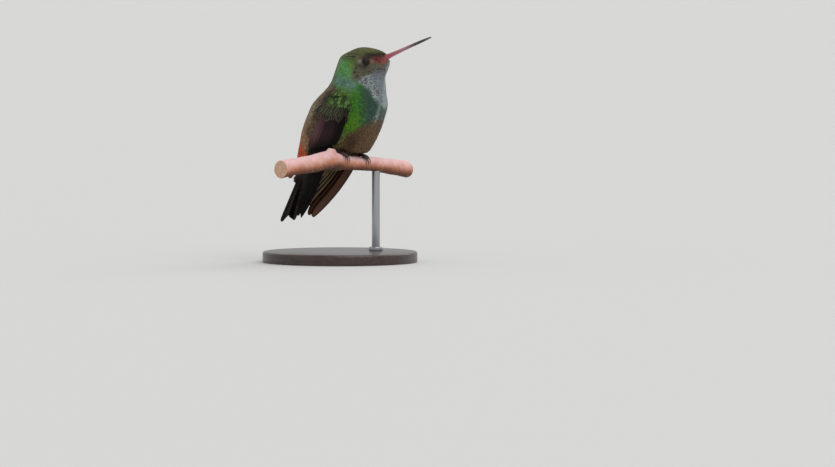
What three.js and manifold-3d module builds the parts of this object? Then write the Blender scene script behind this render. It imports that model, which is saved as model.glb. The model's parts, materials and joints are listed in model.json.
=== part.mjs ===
// A perched rufous-tailed hummingbird at life size, on a cut length of branch held by a plain display stand.
//
// Frame: millimetres, +Z up, the bird's body faces +X and its left side is +Y. The origin is the centre of
// the underside of the stand's base, so the model stands on the plane Z = 0.
//
// The body is one egg-shaped tube carried along a curved spine and parted by thin cuts into head, neck,
// breast, belly and tail coverts. Wings and tail are stacks of feather blades laid on a guiding surface.

import * as THREE from "three";
import { mergeVertices } from "three/addons/utils/BufferGeometryUtils.js";
import Module from "manifold-3d";

const wasm = await Module();
wasm.setup();

// ---------------------------------------------------------------------------------------------- sizes

const CUT = 0.12; // width of the thin cut between two pieces of the body
const GAP = 0.15; // clearance between pieces that lie on each other
const SMALLEST = 0.02; // joined pieces keep no detail finer than this
const RIGHT = -1; // the bird's right side has negative Y
const LEFT = 1;
const SIDES = [["right", RIGHT], ["left", LEFT]];

// The body: where its spine runs in the X-Z plane and how far it swells from it.
// [distance from the crown, spine X, spine Z, to the front, to the back, to each side, taper of the face]
const BODY = [
  [0.0, 10.6, 80.6, 10.6, 7.7, 5.9, 0.45], // crown
  [3.2, 10.4, 77.6, 10.6, 8.3, 7.0, 0.6], // brow
  [6.2, 9.9, 74.7, 9.6, 9.3, 7.5, 0.66], // eye
  [9.6, 9.0, 71.4, 9.4, 9.7, 7.8, 0.42], // chin
  [14.0, 7.9, 67.15, 11.0, 10.0, 8.5, 0.12], // neck
  [17.2, 6.9, 64.1, 12.9, 10.2, 9.3, 0.0], // collar
  [20.6, 5.75, 60.9, 13.6, 11.2, 10.1, 0.0], // shoulder
  [27.9, 2.85, 54.2, 13.9, 14.0, 11.4, 0.0], // breast
  [35.4, -0.65, 47.6, 13.3, 14.0, 11.3, 0.0], // belly
  [42.4, -4.45, 41.7, 10.6, 12.8, 10.2, 0.0], // flank
  [49.0, -8.5, 36.5, 4.9, 10.2, 7.6, 0.0], // vent
  [54.2, -11.9, 32.5, 2.9, 7.4, 5.6, 0.0], // tail coverts
  [57.6, -14.3, 30.1, 1.6, 4.2, 4.2, 0.0], // end of the tail coverts
];
const CROWN_DOME = 6.2; // the skull closes over this length of spine
const CUTS = { throat: 12.6, collar: 17.6, girdle: 36.0, vent: 47.4 }; // spine distances of the thin cuts
const RINGS_PER_MM = 0.45;
const HEAD_RINGS_PER_MM = 0.75;
const BODY_SIDES = 24;

const HEAD_TURN = THREE.MathUtils.degToRad(10); // the head looks to the bird's left
const NECK_X = 8.0; // the head turns about a vertical line through the neck
const NECK_BOTTOM = 61.0;
const NECK_TOP = 69.5;

const BILL = {
  root: [15.2, 75.3], // X and Z of the middle of the gape
  rise: THREE.MathUtils.degToRad(25.2),
  length: 22.6,
  droop: 0.45, // how far the tip bends below the straight line
  halfWidth: [[0, 2.35], [0.12, 1.75], [0.28, 1.15], [0.55, 0.85], [0.85, 0.62], [1, 0.28]],
  halfDepth: [[0, 1.45], [0.12, 1.2], [0.28, 0.82], [0.55, 0.6], [0.85, 0.48], [1, 0.26]],
  seam: 0.1, // gap between the closed mandibles
};
const EYE = { x: 11.9, z: 75.3, ball: 1.8, sunk: 1.3, socket: 0.12 };

// The perch: a cut branch that crosses under the bird at an angle, thickest at a pruned knot.
const PERCH_TURN = THREE.MathUtils.degToRad(75); // from the bird's forward direction
const PERCH_AT = [7.0, 0]; // X and Y of the branch's middle line between the feet
const PERCH = [
  // [distance along, height of the middle line, radius]
  [-43.4, 36.3, 3.4],
  [-34.4, 37.2, 3.2],
  [-26.1, 37.7, 3.35],
  [-17.8, 38.8, 3.45],
  [-13.0, 38.7, 3.05],
  [-7.3, 37.7, 2.75],
  [-0.3, 37.1, 2.65],
  [8.1, 36.6, 2.7],
  [22.8, 34.8, 3.05],
  [29.2, 33.9, 3.2],
];
const KNOT = { at: -14.6, radius: 2.3, out: 1.3 }; // the pruned knot on the branch's upper side
const SPUR = { at: -37.9, radius: 1.1, out: 0.9 }; // a dead bud under its left part

const FOOT = { middle: -3.2, spread: 6.0, toeRadius: 0.42, standOff: 0.12, clawLength: 2.2 };
const TOES = [
  // [name, starts at, ends at (degrees round the branch, 90 is its top), drift along the branch]
  ["inner", 112, 42, 1.15],
  ["middle", 112, 30, 0.0],
  ["outer", 112, 40, -1.15],
  ["hind", 100, 190, 0.25],
];
const PERCH_ROOM = 3.85; // the belly keeps this far from the branch's middle line, to clear the toes

// The folded wing's edges: [drop from its top, back edge X, |Y|, height Z, front edge X, |Y|]
const WING = [
  [0, -0.4, 8.4, 64.5, 8.4, 8.4],
  [9.5, -3.4, 10.2, 55.0, 8.6, 10.6],
  [18, -6.4, 10.2, 46.5, 5.6, 11.5],
  [23.5, -8.4, 9.2, 41.0, 2.2, 11.2],
  [30.5, -10.6, 6.9, 34.0, -1.2, 10.5],
  [37.5, -12.7, 4.9, 27.0, -4.4, 8.6],
  [43.5, -14.4, 3.4, 21.0, -8.6, 5.9],
  [48.5, -15.3, 2.6, 16.0, -13.4, 3.0],
];
const FAR_WING_AHEAD = 1.8; // the left wing is held this much further forward
const WING_TOP = WING[0][3];
const WING_REST = 0.35; // how far the wing's inner face stays off the body
const BLADE = 0.55; // thickness of a feather blade in the solids
const SHOULDER = { top: 63.2, bottom: 53.4, thick: 1.7 };

// The flight feathers in the side plane, from the outermost to the innermost: X and Z of root and tip.
const PRIMARIES = {
  count: 10,
  outer: {
    root: [4.3, 50.6],
    bow: 2.3,
    lead: 0.6,
    trail: 2.7,
    layer: 0,
    tips: [
      [-14.5, 16.3],
      [-16.1, 17.0],
      [-15.6, 20.2],
      [-13.8, 24.3],
      [-12.8, 27.6],
      [-11.8, 30.5],
      [-10.7, 33.3],
      [-9.8, 35.7],
      [-8.9, 37.8],
      [-8.1, 39.8],
    ],
  },
  inner: { root: [-2.8, 51.6], bow: 0.6, lead: 1.6, trail: 1.3, layer: 0.5 },
};

// The tips of wing feathers round off from these shares of their length.
const TIP_ROUND = { lead: 0.66, trail: 0.82 };

const SECONDARIES = {
  count: 6,
  outer: { root: [7.2, 52.8], tip: [5.2, 44.4], bow: 0.5, lead: 1.3, trail: 1.3, layer: 1.12 },
  inner: { root: [-1.4, 52.9], tip: [-7.0, 42.8], bow: 0.2, lead: 1.5, trail: 1.5, layer: 1.4 },
};

const TAIL = {
  root: [-15.0, 34.9], // X and Z of the quills' roots, in a slot of the coverts
  lean: THREE.MathUtils.degToRad(20.3), // from vertical
  pairs: 5,
  rootHalf: 2.1, // outermost quill from the middle line at the root
  tipHalf: 5.3, // and at the tip
  shortest: 19.2, // central pair
  longest: 21.1, // outermost pair
  halfVane: 2.0,
  arch: 0.17, // each pair lies this much below the next inner one
};

const STAND = { baseRadius: 29, baseHeight: 4, bevel: 0.8, rodAt: 11.0, rodRadius: 1.5, collar: 2.6 };

// ------------------------------------------------------------------------------------------ materials

const finish = (colour, roughness, metalness = 0) =>
  new THREE.MeshStandardMaterial({ color: colour, roughness, metalness });
const BRONZE_GREEN = finish(0x47603a, 0.5, 0.3);
const GLITTER_GREEN = finish(0x38632f, 0.45, 0.35);
const BELLY_GREY = finish(0x5b5042, 0.85);
const RUFOUS = finish(0x8a4a2c, 0.8);
const DUSKY = finish(0x352b2b, 0.6);
const CHESTNUT = finish(0x2a1714, 0.6);
const BILL_RED = finish(0xa23a3e, 0.4);
const EYE_DARK = finish(0x120c0a, 0.08);
const TOE_SKIN = finish(0x2b201f, 0.6);
const CLAW_HORN = finish(0x15110f, 0.35);
const BARK = finish(0xa9776a, 0.85);
const STAND_BASE = finish(0x2d2a28, 0.5);
const STAND_METAL = finish(0x8d8f92, 0.35, 0.9);

// -------------------------------------------------------------------------------------------- helpers

const { lerp, clamp, smoothstep } = THREE.MathUtils;
const vec = (x, y, z) => new THREE.Vector3(x, y, z);

// The row of values at a distance, on a smooth curve through a table whose first column is the distance.
function through(table, at) {
  const last = table.length - 1;
  const t = clamp(at, table[0][0], table[last][0]);
  let i = 0;
  while (i < last - 1 && t > table[i + 1][0]) i += 1;
  const [a, b] = [table[i], table[i + 1]];
  const before = table[Math.max(i - 1, 0)];
  const after = table[Math.min(i + 2, last)];
  const span = b[0] - a[0];
  const u = (t - a[0]) / span;
  return a.slice(1).map((value, k) => {
    const c = k + 1;
    const slopeA = ((b[c] - before[c]) / (b[0] - before[0])) * span;
    const slopeB = ((after[c] - a[c]) / (after[0] - a[0])) * span;
    const rise = u * u * (3 - 2 * u);
    return value + (b[c] - value) * rise + slopeA * u * (1 - u) ** 2 - slopeB * u * u * (1 - u);
  });
}

// A closed surface over a row of rings, each with the same number of points, capped at both ends.
function loft(rings) {
  const count = rings[0].length;
  const points = rings.flat();
  const faces = [];
  for (let r = 0; r < rings.length - 1; r += 1)
    for (let k = 0; k < count; k += 1) {
      const [a, b] = [r * count + k, r * count + ((k + 1) % count)];
      faces.push(a, b, a + count, b, b + count, a + count);
    }
  for (const [r, flip] of [[0, true], [rings.length - 1, false]]) {
    const middle = rings[r].reduce((sum, p) => sum.add(p), vec(0, 0, 0)).divideScalar(count);
    points.push(middle);
    for (let k = 0; k < count; k += 1) {
      const [a, b] = [r * count + k, r * count + ((k + 1) % count)];
      faces.push(...(flip ? [b, a, points.length - 1] : [a, b, points.length - 1]));
    }
  }
  return new THREE.BufferGeometry().setFromPoints(points).setIndex(faces);
}

// A three.js geometry as a manifold-3d solid with its faces pointing out.
function solid(geometry) {
  const bare = geometry.clone();
  bare.deleteAttribute("normal");
  bare.deleteAttribute("uv");
  const merged = mergeVertices(bare, 1e-4);
  const make = (triVerts) =>
    new wasm.Manifold(
      new wasm.Mesh({ numProp: 3, vertProperties: merged.attributes.position.array, triVerts }),
    );
  const made = make(new Uint32Array(merged.index.array));
  return made.volume() > 0 ? made : make(new Uint32Array(merged.index.array).reverse());
}

function geometryOf(made) {
  const { vertProperties, triVerts, numProp } = made.getMesh();
  const points = [];
  for (let i = 0; i < vertProperties.length; i += numProp)
    points.push(vec(vertProperties[i], vertProperties[i + 1], vertProperties[i + 2]));
  const geometry = new THREE.BufferGeometry().setFromPoints(points).setIndex([...triVerts]);
  geometry.computeVertexNormals();
  return geometry;
}

const union = (solids) => solids.reduce((sum, s) => sum.add(s)).simplify(SMALLEST);

// Moves every point of a geometry by a function of the point.
function bend(geometry, move) {
  const place = geometry.attributes.position;
  for (let i = 0; i < place.count; i += 1) {
    const p = move(vec(place.getX(i), place.getY(i), place.getZ(i)));
    place.setXYZ(i, p.x, p.y, p.z);
  }
  return geometry;
}

const bird = new THREE.Group();
function piece(name, made, material) {
  const geometry = made.isBufferGeometry ? made : geometryOf(made);
  const mesh = new THREE.Mesh(geometry, material);
  mesh.name = name;
  bird.add(mesh);
  return mesh;
}

// ----------------------------------------------------------------------------------------------- body

// The head and all that is on it turn about the neck, by an angle that dies away down the throat.
function turnHead(p) {
  const angle = HEAD_TURN * smoothstep(p.z, NECK_BOTTOM, NECK_TOP);
  const [dx, dy] = [p.x - NECK_X, p.y];
  return vec(
    NECK_X + dx * Math.cos(angle) - dy * Math.sin(angle),
    dx * Math.sin(angle) + dy * Math.cos(angle),
    p.z,
  );
}

// The spine's place and its forward normal at a distance from the crown, with the swell there.
function spine(s) {
  const [x, z, front, back, side, taper] = through(BODY, s);
  const [x0, z0] = through(BODY, s - 0.5);
  const [x1, z1] = through(BODY, s + 0.5);
  const run = Math.hypot(x1 - x0, z1 - z0);
  const dome = s < CROWN_DOME ? Math.sqrt(1 - (1 - s / CROWN_DOME) ** 2) : 1;
  return {
    x,
    z,
    normal: [-(z1 - z0) / run, (x1 - x0) / run],
    front: front * dome,
    back: back * dome,
    side: side * dome,
    taper,
  };
}

// A point of the untwisted body: round the section at s, angle 0 at the front of the body.
function bodyPoint(s, angle) {
  const at = spine(s);
  const c = Math.cos(angle);
  const out = (c > 0 ? at.front : at.back) * c;
  const narrow = 1 - at.taper * Math.max(c, 0) ** 2;
  return vec(
    at.x + at.normal[0] * out,
    at.side * Math.sin(angle) * narrow,
    at.z + at.normal[1] * out,
  );
}

// The body between two distances from the crown, as a closed tube.
function bodyLength(from, to) {
  const steps = Math.max(3, Math.round((to - from) * (from === 0 ? HEAD_RINGS_PER_MM : RINGS_PER_MM)));
  const rings = [];
  for (let i = 0; i <= steps; i += 1) {
    const u = i / steps;
    const s = from === 0 ? 0.1 + (to - 0.1) * u ** 1.6 : lerp(from, to, u);
    const ring = [];
    for (let k = 0; k < BODY_SIDES; k += 1)
      ring.push(turnHead(bodyPoint(s, (k / BODY_SIDES) * 2 * Math.PI)));
    rings.push(ring);
  }
  return solid(loft(rings));
}

// Half the untwisted body's width at a place in the X-Z plane, or 0 outside it.
function bodyHalfWidth(x, z) {
  let [low, high] = [0, BODY[BODY.length - 1][0]];
  const ahead = (s) => {
    const at = spine(s);
    return (x - at.x) * at.normal[1] - (z - at.z) * at.normal[0];
  };
  for (let i = 0; i < 24; i += 1) {
    const middle = (low + high) / 2;
    if (ahead(middle) > 0) low = middle;
    else high = middle;
  }
  const at = spine(low);
  const out = (x - at.x) * at.normal[0] + (z - at.z) * at.normal[1];
  const c = out / (out > 0 ? at.front : at.back);
  return Math.abs(c) < 1 ? at.side * Math.sqrt(1 - c * c) : 0;
}

const lengths = [0, CUTS.throat, CUTS.collar, CUTS.girdle, CUTS.vent, BODY[BODY.length - 1][0]];
const [head, neck, breast, belly, coverts] = lengths
  .slice(1)
  .map((to, i) => bodyLength(i ? lengths[i] + CUT / 2 : 0, i < 4 ? to - CUT / 2 : to));

// --------------------------------------------------------------------------------------- bill and eyes

// One mandible, or both where side is 0: a half-round section carried along the bill's drooping line.
function mandible(side, grow = 0, from = 0, to = 1) {
  const rings = [];
  for (let i = 0; i <= 9; i += 1) {
    const t = lerp(from, to, i / 9);
    const run = t * BILL.length;
    const drop = BILL.droop * Math.max(t, 0) ** 2;
    const x = BILL.root[0] + run * Math.cos(BILL.rise) + drop * Math.sin(BILL.rise);
    const z = BILL.root[1] + run * Math.sin(BILL.rise) - drop * Math.cos(BILL.rise);
    const [wide] = through(BILL.halfWidth, t);
    const [deep] = through(BILL.halfDepth, t);
    const ring = [];
    const turns = side === 0 ? 12 : 8;
    for (let k = 0; k < turns; k += 1) {
      const angle = side === 0 ? (k / turns) * 2 * Math.PI : (k / (turns - 1)) * Math.PI;
      const y = (wide + grow) * Math.cos(angle);
      const seam = side === 0 ? 0 : BILL.seam / 2;
      const up = (side || 1) * (seam + (deep - seam + grow) * Math.sin(angle));
      ring.push(turnHead(vec(x - up * Math.sin(BILL.rise), y, z + up * Math.cos(BILL.rise))));
    }
    rings.push(ring);
  }
  return solid(loft(rings));
}

// The middle of an eyeball, sunk below the side of the head.
function eyeCentre(side) {
  const brow = spine(BODY[2][0]);
  const out = EYE.x - brow.x;
  const c = out / brow.front;
  const half = brow.side * Math.sqrt(1 - c * c) * (1 - brow.taper * c * c);
  return turnHead(vec(EYE.x, side * (half - EYE.sunk), EYE.z));
}

const ball = (side, radius) => {
  const sphere = new THREE.SphereGeometry(radius, 12, 8);
  return solid(sphere.translate(...eyeCentre(side).toArray()));
};
const face = SIDES.reduce(
  (part, [, side]) => part.subtract(ball(side, EYE.ball + EYE.socket)),
  head.subtract(mandible(0, GAP, -0.01, 0.6)),
);
piece("head", face, BRONZE_GREEN);
piece("neck", neck, GLITTER_GREEN);
for (const [name, side] of SIDES) piece(`eye_${name}`, ball(side, EYE.ball), EYE_DARK);
piece("bill_upper", mandible(1), BILL_RED);
piece("bill_lower", mandible(-1), BILL_RED);

// ----------------------------------------------------------------------------------- perch and its stand

const along = [Math.cos(PERCH_TURN), Math.sin(PERCH_TURN)];
const across = [Math.sin(PERCH_TURN), -Math.cos(PERCH_TURN)];

// A place near the branch: t along it, out from its middle line, angle 0 in front and 90 on top.
function byPerch(t, out, degrees) {
  const [height] = through(PERCH, t);
  const turn = THREE.MathUtils.degToRad(degrees);
  const ahead = out * Math.cos(turn);
  return vec(
    PERCH_AT[0] + along[0] * t + across[0] * ahead,
    PERCH_AT[1] + along[1] * t + across[1] * ahead,
    height + out * Math.sin(turn),
  );
}

function branch() {
  const rings = [];
  const [first, last] = [PERCH[0][0], PERCH[PERCH.length - 1][0]];
  for (let i = 0; i <= 16; i += 1) {
    const t = lerp(first, last, i / 16);
    const radius = through(PERCH, t)[1];
    const ring = [];
    for (let k = 0; k < 14; k += 1) ring.push(byPerch(t, radius, (k * 360) / 14));
    rings.push(ring);
  }
  return solid(loft(rings));
}

// A short stub that stands out from the branch, up or down.
function stub({ at, radius, out }, up) {
  const [height, thick] = through(PERCH, at);
  const profile = [
    [0, radius * 1.25],
    [thick * 0.75, radius * 1.15],
    [thick + out * 0.45, radius * 0.85],
    [thick + out * 0.85, radius * 0.6],
    [thick + out, radius * 0.3],
  ];
  const rings = profile.map(([rise, wide]) => {
    const ring = [];
    for (let k = 0; k < 10; k += 1) {
      const angle = (k / 10) * 2 * Math.PI;
      const p = byPerch(at + wide * Math.cos(angle), 0, 0);
      const side = wide * Math.sin(angle);
      ring.push(vec(p.x + across[0] * side, p.y + across[1] * side, height + up * rise));
    }
    return ring;
  });
  return solid(loft(rings));
}

const [rodX, rodY] = byPerch(STAND.rodAt, 0, 0).toArray();
const rodTop = through(PERCH, STAND.rodAt)[0] - 0.6;
const rodFoot = STAND.baseHeight - 2;
const post = (radius, from, to) =>
  solid(
    new THREE.CylinderGeometry(radius, radius, to - from, 16)
      .rotateX(Math.PI / 2)
      .translate(rodX, rodY, (from + to) / 2),
  );
const rodHole = post(STAND.rodRadius + 0.1, rodFoot - 0.1, rodTop + 0.1);

const wood = union([branch(), stub(KNOT, 1), stub(SPUR, -1)]);
piece("perch", wood.subtract(rodHole), BARK);

const { baseRadius, baseHeight, bevel } = STAND;
const disc = new THREE.LatheGeometry(
  [
    [0, 0],
    [baseRadius, 0],
    [baseRadius, baseHeight - bevel],
    [baseRadius - bevel, baseHeight],
    [0, baseHeight],
  ].map(([x, y]) => new THREE.Vector2(x, y)),
  40,
).rotateX(Math.PI / 2);
piece("stand_base", solid(disc).subtract(rodHole), STAND_BASE);
piece("stand_rod", post(STAND.rodRadius, rodFoot, rodTop), STAND_METAL);
const ringFoot = baseHeight + 0.05;
const ring = post(STAND.collar, ringFoot, ringFoot + 1.4).subtract(rodHole);
piece("stand_collar", ring, STAND_METAL);

// ------------------------------------------------------------------------------------------------ feet

// A tapering tube with round sections through a row of places.
function limb(places, radii, sides = 6) {
  const curve = new THREE.CatmullRomCurve3(places);
  const count = places.length;
  const frames = curve.computeFrenetFrames(count, false);
  const rings = [];
  for (let i = 0; i <= count; i += 1) {
    const u = i / count;
    const radius = through(radii.map((r, k) => [k / (radii.length - 1), r]), u)[0];
    const p = curve.getPointAt(u);
    const ring = [];
    for (let k = 0; k < sides; k += 1) {
      const angle = (k / sides) * 2 * Math.PI;
      ring.push(
        p
          .clone()
          .addScaledVector(frames.normals[i], radius * Math.cos(angle))
          .addScaledVector(frames.binormals[i], radius * Math.sin(angle)),
      );
    }
    rings.push(ring);
  }
  return solid(loft(rings));
}

const hipRoom = [];
for (const [name, side] of SIDES) {
  const t = FOOT.middle + FOOT.spread * side;
  const bark = through(PERCH, t)[1];
  const out = bark + FOOT.toeRadius + FOOT.standOff;
  const toes = [];
  for (const [toe, from, to, drift] of TOES) {
    const turn = Math.sign(to - from);
    const places = [0, 0.25, 0.5, 0.75, 1].map((u) =>
      byPerch(t + drift * u * (1.6 - 0.6 * u), out, lerp(from, to, u)),
    );
    toes.push(limb(places, [FOOT.toeRadius * 1.1, FOOT.toeRadius, FOOT.toeRadius * 0.9], 5));
    const arc = THREE.MathUtils.radToDeg(FOOT.clawLength / out);
    const claw = [0, 0.4, 0.75, 1].map((u) => {
      const lift = 0.25 * Math.sin(Math.PI * u) - 0.12 * u;
      return byPerch(t + drift, out + lift, to + turn * (9.5 + arc * u));
    });
    piece(`claw_${name}_${toe}`, limb(claw, [0.34, 0.29, 0.2, 0.07], 5), CLAW_HORN);
  }
  const ankle = byPerch(t, out + 0.05, 106);
  const knuckle = new THREE.SphereGeometry(FOOT.toeRadius * 1.35, 8, 6);
  toes.push(solid(knuckle.translate(...ankle.toArray())));
  piece(`foot_${name}`, union(toes), TOE_SKIN);
  const shank = (grow, low) => {
    const rise = [low, 1.6, 3.4, 5.2 + grow].map((h) =>
      vec(ankle.x - h * 0.42, ankle.y + side * h * 0.1, ankle.z + h * 0.9),
    );
    return limb(rise, [0.5 + grow, 0.5 + grow, 0.62 + grow]);
  };
  piece(`leg_${name}`, shank(0, 0.92), TOE_SKIN);
  hipRoom.push(shank(0.12, 0.6));
}

// The belly is hollowed round the branch, and open in front of it and below.
const hollow = [-30, -18, -12, -6, 0, 6, 12, 20].map((t) => {
  const room = PERCH_ROOM + (t < -9 ? KNOT.out : 0);
  return [[90, 1], [115, 1], [140, 1], [160, 1], [180, 1], [255, 3.9], [315, 5.4], [14, 4]].map(
    ([degrees, far]) => byPerch(t, room * far, degrees),
  );
});
const underRoom = union([solid(loft(hollow)), ...hipRoom]);
piece("trunk_upper", breast.subtract(underRoom), GLITTER_GREEN);
piece("trunk_lower", belly.subtract(underRoom), BELLY_GREY);

// ------------------------------------------------------------------------------------------------ wings

// The wing's inner face: its height |Y| over the bird's side plane at a place in X and Z.
function wingHeight(x, z) {
  const [backX, backY, , frontX, frontY] = through(WING, WING_TOP - z);
  const q = clamp((x - backX) / Math.max(frontX - backX, 3), -0.15, 1.15);
  const chord = lerp(backY, frontY, q) + 0.5 * Math.sin(Math.PI * clamp(q, 0, 1));
  const body = bodyHalfWidth(x, z) + WING_REST;
  return (chord + body + Math.hypot(chord - body, 0.5)) / 2;
}

// A feather blade on the wing: from root to tip in the side plane, bowed, with its two vanes' widths.
function wingBlade({ root, tip, bow, lead, trail, layer, side }) {
  const rings = [];
  const [dx, dz] = [tip[0] - root[0], tip[1] - root[1]];
  const run = Math.hypot(dx, dz);
  const [nx, nz] = [-dz / run, dx / run];
  for (const t of [0, 0.33, 0.7, 0.9, 1]) {
    const sway = bow * 4 * t * (1 - t);
    const [cx, cz] = [root[0] + dx * t + nx * sway, root[1] + dz * t + nz * sway];
    const wide = (roundFrom) => {
      const round = Math.sqrt(1 - clamp((t - roundFrom) / (1.01 - roundFrom), 0, 1) ** 2);
      return (0.6 + 0.4 * smoothstep(t, 0, 0.4)) * Math.max(round, 0.12);
    };
    const edge = [-trail * wide(TIP_ROUND.trail), 0, lead * wide(TIP_ROUND.lead)];
    const places = edge.map((e) => [cx + nx * e, cz + nz * e]);
    const ahead = side === LEFT ? FAR_WING_AHEAD : 0;
    const inner = places.map(([x, z]) => vec(x + ahead, side * (wingHeight(x, z) + layer), z));
    const outer = inner.map((p) => vec(p.x, p.y + side * BLADE * 1.15, p.z)).reverse();
    rings.push([...inner, ...outer]);
  }
  return solid(loft(rings));
}

// The shoulder: a rounded pad of coverts over the upper arm, down to the roots of the flight feathers.
function shoulderPad(side) {
  const rings = [];
  for (let i = 0; i <= 7; i += 1) {
    const z = lerp(SHOULDER.top, SHOULDER.bottom, i / 7);
    const [backX, , , frontX] = through(WING, WING_TOP - z);
    const swell = smoothstep(i / 7, -0.25, 0.6);
    const shrink = 0.2 * (1 - smoothstep(i / 7, 0, 0.35));
    const inner = [];
    const outer = [];
    for (let k = 0; k <= 6; k += 1) {
      const q = k / 6;
      const x = lerp(backX, frontX, lerp(shrink, 1 - shrink, q));
      const thick = BLADE + (SHOULDER.thick - BLADE) * swell * Math.sin(Math.PI * q) ** 0.6;
      const y = wingHeight(x, z);
      const ahead = side === LEFT ? FAR_WING_AHEAD : 0;
      const snug = Math.min(y, bodyHalfWidth(x + ahead, z) + GAP);
      inner.push(vec(x + ahead, side * snug, z));
      outer.unshift(vec(x + ahead, side * (y + thick), z));
    }
    rings.push([...inner, ...outer]);
  }
  return solid(loft(rings));
}

for (const [name, side] of SIDES) {
  const fan = (count, from, to) =>
    union(
      Array.from({ length: count }, (_, i) => {
        const u = i / (count - 1);
        const between = (key) =>
          Array.isArray(from[key])
            ? from[key].map((value, k) => lerp(value, to[key][k], u))
            : lerp(from[key], to[key], u);
        const tip = from.tips ? from.tips[i] : between("tip");
        return wingBlade({
          root: between("root"),
          tip,
          bow: between("bow"),
          lead: between("lead"),
          trail: between("trail"),
          layer: between("layer"),
          side,
        });
      }),
    );
  piece(`wing_${name}_shoulder`, shoulderPad(side), BRONZE_GREEN);
  piece(`wing_${name}_secondaries`, fan(SECONDARIES.count, SECONDARIES.outer, SECONDARIES.inner), DUSKY);
  piece(`wing_${name}_primaries`, fan(PRIMARIES.count, PRIMARIES.outer, PRIMARIES.inner), DUSKY);
}

// ------------------------------------------------------------------------------------------------ tail

// A place in the tail's own frame: down the tail, sideways, and up from its plane.
function onTail(down, sideways, up) {
  const [sin, cos] = [Math.sin(TAIL.lean), Math.cos(TAIL.lean)];
  return vec(TAIL.root[0] - sin * down - cos * up, sideways, TAIL.root[1] - cos * down + sin * up);
}

function tailBlade(pair, side) {
  const outer = pair / (TAIL.pairs - 1);
  const length = lerp(TAIL.shortest, TAIL.longest, outer ** 0.8);
  const up = -TAIL.arch * pair - (side > 0 ? 0 : 0.05);
  const rings = [];
  for (const t of [0, 0.86, 0.96, 1]) {
    const round = Math.sqrt(1 - clamp((t - 0.86) / 0.15, 0, 1) ** 2);
    const wide = TAIL.halfVane * lerp(0.6, 1, t) * Math.max(round, 0.15);
    const reach = lerp(lerp(0.3, TAIL.rootHalf, outer), lerp(0.85, TAIL.tipHalf, outer), t);
    const ring = [-wide, 0, wide].map((w) => onTail(length * t, side * reach + w, up - 0.05 * Math.abs(w)));
    ring.push(...[wide, 0, -wide].map((w) => onTail(length * t, side * reach + w, up + BLADE)));
    rings.push(ring);
  }
  return solid(loft(rings));
}

const rectrices = [];
for (let pair = 0; pair < TAIL.pairs; pair += 1)
  for (const [, side] of SIDES) rectrices.push(tailBlade(pair, side));
piece("tail", union(rectrices), CHESTNUT);

const slotDeep = -TAIL.arch * (TAIL.pairs - 1) - 0.35;
const slot = [-0.15, 9].map((down) => {
  const half = TAIL.rootHalf + TAIL.halfVane * 0.6 + 0.2 + down * 0.16;
  const ring = [[-half, slotDeep], [half, slotDeep], [half, BLADE + 0.15], [-half, BLADE + 0.15]];
  return ring.map(([sideways, up]) => onTail(down, sideways, up));
});
piece("tail_coverts", coverts.subtract(solid(loft(slot))), RUFOUS);

export default bird;
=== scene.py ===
"""The looks of a perched rufous-tailed hummingbird at life size, on a cut branch held by a display stand.

The body is one egg-shaped surface carried along a curved spine. Every small feather is a thin closed
vane rooted on the skin below that surface. Wings and tail are stacks of flight feathers. Lengths are in
millimetres until a piece is put into its mesh.
"""

import json

import bpy
import mathutils
import numpy as np
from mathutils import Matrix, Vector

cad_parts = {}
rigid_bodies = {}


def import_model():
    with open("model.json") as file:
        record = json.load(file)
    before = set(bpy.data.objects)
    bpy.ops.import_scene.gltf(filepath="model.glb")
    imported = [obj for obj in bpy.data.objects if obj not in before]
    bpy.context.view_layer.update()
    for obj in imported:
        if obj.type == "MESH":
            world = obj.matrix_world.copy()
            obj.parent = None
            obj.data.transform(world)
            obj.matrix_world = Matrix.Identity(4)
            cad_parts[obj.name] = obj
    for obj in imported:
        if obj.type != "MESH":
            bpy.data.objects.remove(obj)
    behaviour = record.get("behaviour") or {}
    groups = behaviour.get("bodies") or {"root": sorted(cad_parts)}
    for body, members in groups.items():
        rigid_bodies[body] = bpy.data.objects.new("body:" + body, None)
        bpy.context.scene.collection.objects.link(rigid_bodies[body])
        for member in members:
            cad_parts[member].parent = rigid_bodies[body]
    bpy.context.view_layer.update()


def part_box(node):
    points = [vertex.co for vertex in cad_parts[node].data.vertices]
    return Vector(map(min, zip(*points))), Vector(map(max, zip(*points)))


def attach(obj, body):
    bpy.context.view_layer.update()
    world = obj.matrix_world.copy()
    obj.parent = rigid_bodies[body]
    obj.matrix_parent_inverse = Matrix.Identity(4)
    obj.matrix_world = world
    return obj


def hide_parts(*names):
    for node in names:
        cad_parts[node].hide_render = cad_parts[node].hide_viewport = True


bl_info = {
    "name": "Perched hummingbird",
    "version": (1, 0, 0),
    "blender": (4, 5, 0),
    "location": "3D View > Sidebar > Hummingbird",
    "description": "Builds a life-size hummingbird with mesh feathers on a display stand",
    "category": "Add Mesh",
}

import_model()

# ---- sizes

MM = 0.001
SIDES = (("right", -1), ("left", 1))
UP = np.array([0.0, 0.0, 1.0])
GOLDEN_TURN = np.pi * (3 - 5**0.5)

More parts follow.
